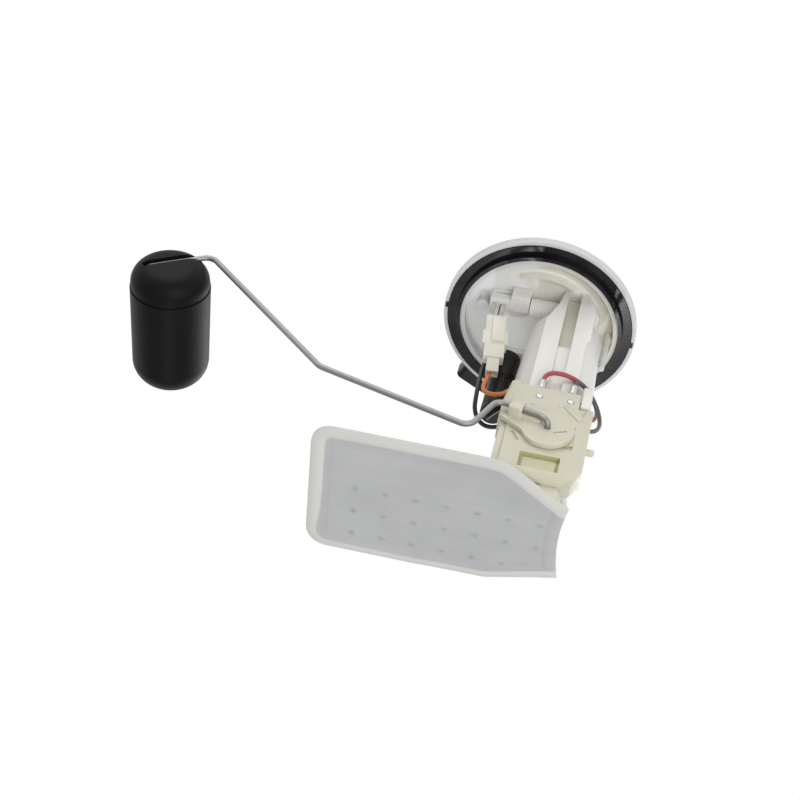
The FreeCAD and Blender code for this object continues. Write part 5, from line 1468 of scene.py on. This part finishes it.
    def sewn(self, sheets: list[bpy.types.Object]) -> bpy.types.Object:
        """Join the two sheets and close the rim between them.

        Args:
            sheets: The lower and the upper sheet.

        Returns:
            The closed pillow.
        """
        alone(sheets[0])
        for sheet in sheets[1:]:
            sheet.select_set(True)
        bpy.ops.object.join()
        piece = bpy.context.view_layer.objects.active
        piece.name = "strainer_pillow"
        bpy.ops.object.mode_set(mode="EDIT")
        bpy.ops.mesh.select_mode(type="EDGE")
        bpy.ops.mesh.select_all(action="DESELECT")
        bpy.ops.mesh.select_non_manifold()
        bpy.ops.mesh.bridge_edge_loops()
        bpy.ops.object.mode_set(mode="OBJECT")
        return piece


@dataclass
class Lead:
    """One insulated lead between the pieces that hold its ends."""

    node: str
    finish: Finish
    route: tuple[Point, ...]
    radius: float = 1.0
    sides: int = 16

    def build(self) -> bpy.types.Object:
        """Lay the lead on one smooth curve through its route.

        Returns:
            The lead, which stands for the plain CAD tube.
        """
        curve = bpy.data.curves.new(self.node + "_cover", "CURVE")
        curve.dimensions = "3D"
        curve.bevel_depth = self.radius * MM
        curve.bevel_resolution = self.sides // 4
        curve.use_fill_caps = True
        curve.resolution_u = 10
        spline = curve.splines.new("NURBS")
        spline.points.add(len(self.route) - 1)
        for point, place in zip(spline.points, self.route):
            point.co = (*(part * MM for part in place), 1.0)
        spline.order_u = 3
        spline.use_endpoint_u = True
        line = bpy.data.objects.new(self.node + "_cover", curve)
        bpy.context.scene.collection.objects.link(line)
        alone(line)
        bpy.ops.object.convert(target="MESH")
        piece = bpy.context.view_layer.objects.active
        piece.data.shade_smooth()
        return seat(piece, Body.MODULE, self.finish, self.node)


LEADS = (
    Lead("lead_orange", ORANGE_COVER, (
        (-16.84, -4.78, -37.68), (-15.65, -1.79, -47.05), (-16.80, -1.00, -50.00), (-17.00, 0.20, -55.80),
        (-12.40, -1.00, -58.80), (-7.40, -4.40, -61.20), (-5.60, -10.60, -67.00), (-2.40, -17.80, -73.00),
        (-1.10, -19.80, -76.90), (-1.10, -19.80, -82.30))),
    Lead("lead_black", BLACK_COVER, (
        (-18.00, -11.95, -5.00), (-18.00, -9.00, -5.00), (-18.20, -6.40, -8.40), (-18.50, -4.00, -13.60),
        (-19.00, -1.40, -21.00), (-19.60, 1.40, -31.00), (-20.00, 3.80, -42.00), (-19.80, 6.60, -51.60),
        (-19.20, 11.40, -57.60), (-14.80, 15.80, -60.60), (-8.40, 16.00, -60.40), (-3.60, 12.00, -59.40),
        (-3.40, 6.20, -59.00), (-5.76, 0.18, -61.53), (-8.54, 0.45, -65.91))),
    Lead("lead_amber", AMBER_COVER, (
        (-8.60, -1.65, -66.00), (-6.89, -1.81, -63.31), (-5.30, -3.90, -63.40), (-5.00, -7.00, -67.60),
        (-3.80, -12.00, -72.60), (-1.10, -16.40, -76.90), (-1.10, -16.40, -82.30))),
    Lead("lead_red", RED_COVER, (
        (9.50, -23.20, -70.65), (9.50, -23.20, -66.65), (13.80, -23.60, -63.80), (21.60, -22.40, -63.60),
        (28.60, -18.00, -64.40), (33.00, -11.00, -64.60), (34.60, -3.00, -61.40), (33.40, 5.00, -55.60),
        (30.40, 11.90, -48.40), (26.80, 16.30, -41.80), (23.18, 14.74, -38.50), (20.04, 8.82, -38.50))),
    Lead("lead_grey", GREY_COVER, (
        (22.80, -23.20, -70.65), (22.80, -23.20, -67.45), (26.60, -21.80, -66.60), (31.80, -15.80, -67.80),
        (35.00, -9.20, -68.00), (36.60, -1.60, -66.00), (35.60, 6.00, -61.20), (32.40, 12.80, -54.40),
        (28.40, 17.60, -47.20), (23.80, 19.60, -42.60), (17.90, 16.66, -41.50), (16.51, 10.10, -41.50))),
)


@dataclass
class Studio:
    """The camera at the photograph's viewing angle, the pale floor and the soft light."""

    eye: Point = (33.546, -465.605, -642.198)
    right: Point = (0.9747886, -0.0790612, 0.2086540)
    down: Point = (0.1921081, 0.7730319, -0.6045794)
    forward: Point = (-0.1134974, 0.6294212, 0.7687310)
    focal_pixels: float = 1700.0
    frame_pixels: float = 800.0
    sensor: float = 36.0
    floor_level: float = -1.2
    floor_reach: float = 6.0
    soft_level: float = 0.52
    aim: Point = (-0.05, 0.0, -0.07)

    def camera(self) -> None:
        """Set the camera up at the photograph's viewing angle."""
        data = bpy.data.cameras.new("studio_camera")
        data.sensor_width = self.sensor
        data.sensor_fit = "HORIZONTAL"
        data.lens = self.sensor * self.focal_pixels / self.frame_pixels
        data.clip_end = 50.0
        camera = bpy.data.objects.new("studio_camera", data)
        turn = Matrix((self.right, tuple(-part for part in self.down), tuple(-part for part in self.forward)))
        camera.matrix_world = Matrix.Translation(Vector(self.eye) * MM) @ turn.transposed().to_4x4()
        bpy.context.scene.collection.objects.link(camera)
        bpy.context.scene.camera = camera

    def world(self) -> None:
        """Make a backdrop, white for the camera, glass and gloss, and softer for all other light."""
        world = bpy.data.worlds.new("studio_world")
        bpy.context.scene.world = world
        world.use_nodes = True
        tree = world.node_tree
        tree.nodes.clear()
        path = tree.nodes.new("ShaderNodeLightPath")
        seen = path.outputs["Is Camera Ray"]
        for ray in ("Is Glossy Ray", "Is Transmission Ray"):
            either = tree.nodes.new("ShaderNodeMath")
            either.operation = "MAXIMUM"
            tree.links.new(seen, either.inputs[0])
            tree.links.new(path.outputs[ray], either.inputs[1])
            seen = either.outputs[0]
        level = tree.nodes.new("ShaderNodeMapRange")
        tree.links.new(seen, level.inputs["Value"])
        level.inputs["To Min"].default_value = self.soft_level
        level.inputs["To Max"].default_value = 1.0
        ground = tree.nodes.new("ShaderNodeBackground")
        ground.inputs["Color"].default_value = (1.0, 1.0, 1.0, 1.0)
        tree.links.new(level.outputs[0], ground.inputs["Strength"])
        end = tree.nodes.new("ShaderNodeOutputWorld")
        tree.links.new(ground.outputs[0], end.inputs["Surface"])

    def lamp(self, name: str, place: Point, aim: Point, size: float, power: float) -> None:
        """Hang one soft lamp.

        Args:
            name: The lamp's name.
            place: Where it stands, in metres.
            aim: What it points at, in metres.
            size: Its side, in metres.
            power: Its power, in watts.
        """
        data = bpy.data.lights.new(name, "AREA")
        data.size = size
        data.energy = power
        lamp = bpy.data.objects.new(name, data)
        lamp.location = place
        lamp.rotation_euler = (Vector(aim) - Vector(place)).to_track_quat("-Z", "Y").to_euler()
        bpy.context.scene.collection.objects.link(lamp)

    def floor(self) -> None:
        """Lay the plain pale floor, well below the camera."""
        mesh = bpy.data.meshes.new("studio_floor")
        reach = self.floor_reach
        level = self.floor_level
        mesh.from_pydata([(-reach, -reach, level), (reach, -reach, level), (reach, reach, level),
                          (-reach, reach, level)], [], [(0, 1, 2, 3)])
        floor = bpy.data.objects.new("studio_floor", mesh)
        bpy.context.scene.collection.objects.link(floor)
        shader = Shader("floor_paper")
        grain = shader.noise(30.0, 3.0, 0.5)
        colour = shader.mix(grain, (0.80, 0.80, 0.80), (0.84, 0.84, 0.84))
        mesh.materials.append(shader.close(Base_Color=colour, Roughness=0.9))

    def build(self) -> None:
        """Set up the camera, the backdrop and the lamps."""
        self.camera()
        self.world()
        self.floor()
        self.lamp("key_lamp", (-0.35, -1.15, 0.55), self.aim, 0.8, 5.0)
        self.lamp("fill_lamp", (0.5, -0.6, -0.95), self.aim, 0.9, 8.0)
        self.lamp("back_lamp", (0.6, 1.1, 0.7), self.aim, 0.9, 6.0)
        self.lamp("spark_lamp", (-0.004, 0.497, -0.8), (0.01, -0.04, 0.0), 0.03, 0.8)
        bpy.context.scene.view_settings.view_transform = "Standard"


def dress_nodes(nodes: dict[str, bpy.types.Object]) -> None:
    """Give each CAD node its finish.

    Args:
        nodes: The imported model's nodes by name.
    """
    for name, finish in NODE_FINISHES.items():
        slots = nodes[name].data.materials
        slots.clear()
        slots.append(finish.material())
        log.info("node %s takes %s", name, finish.name)


def main() -> None:
    """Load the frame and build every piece."""
    logging.basicConfig(level=logging.INFO, format="%(message)s")
    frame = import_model()
    Studio().build()
    dress_nodes(frame["nodes"])
    bpy.ops.object.select_all(action="DESELECT")
    Holder().build()
    Plug().build()
    Sender().build()
    Lever().build()
    Strainer().build()
    for lead in LEADS:
        lead.build()


if __name__ == "__main__":
    main()
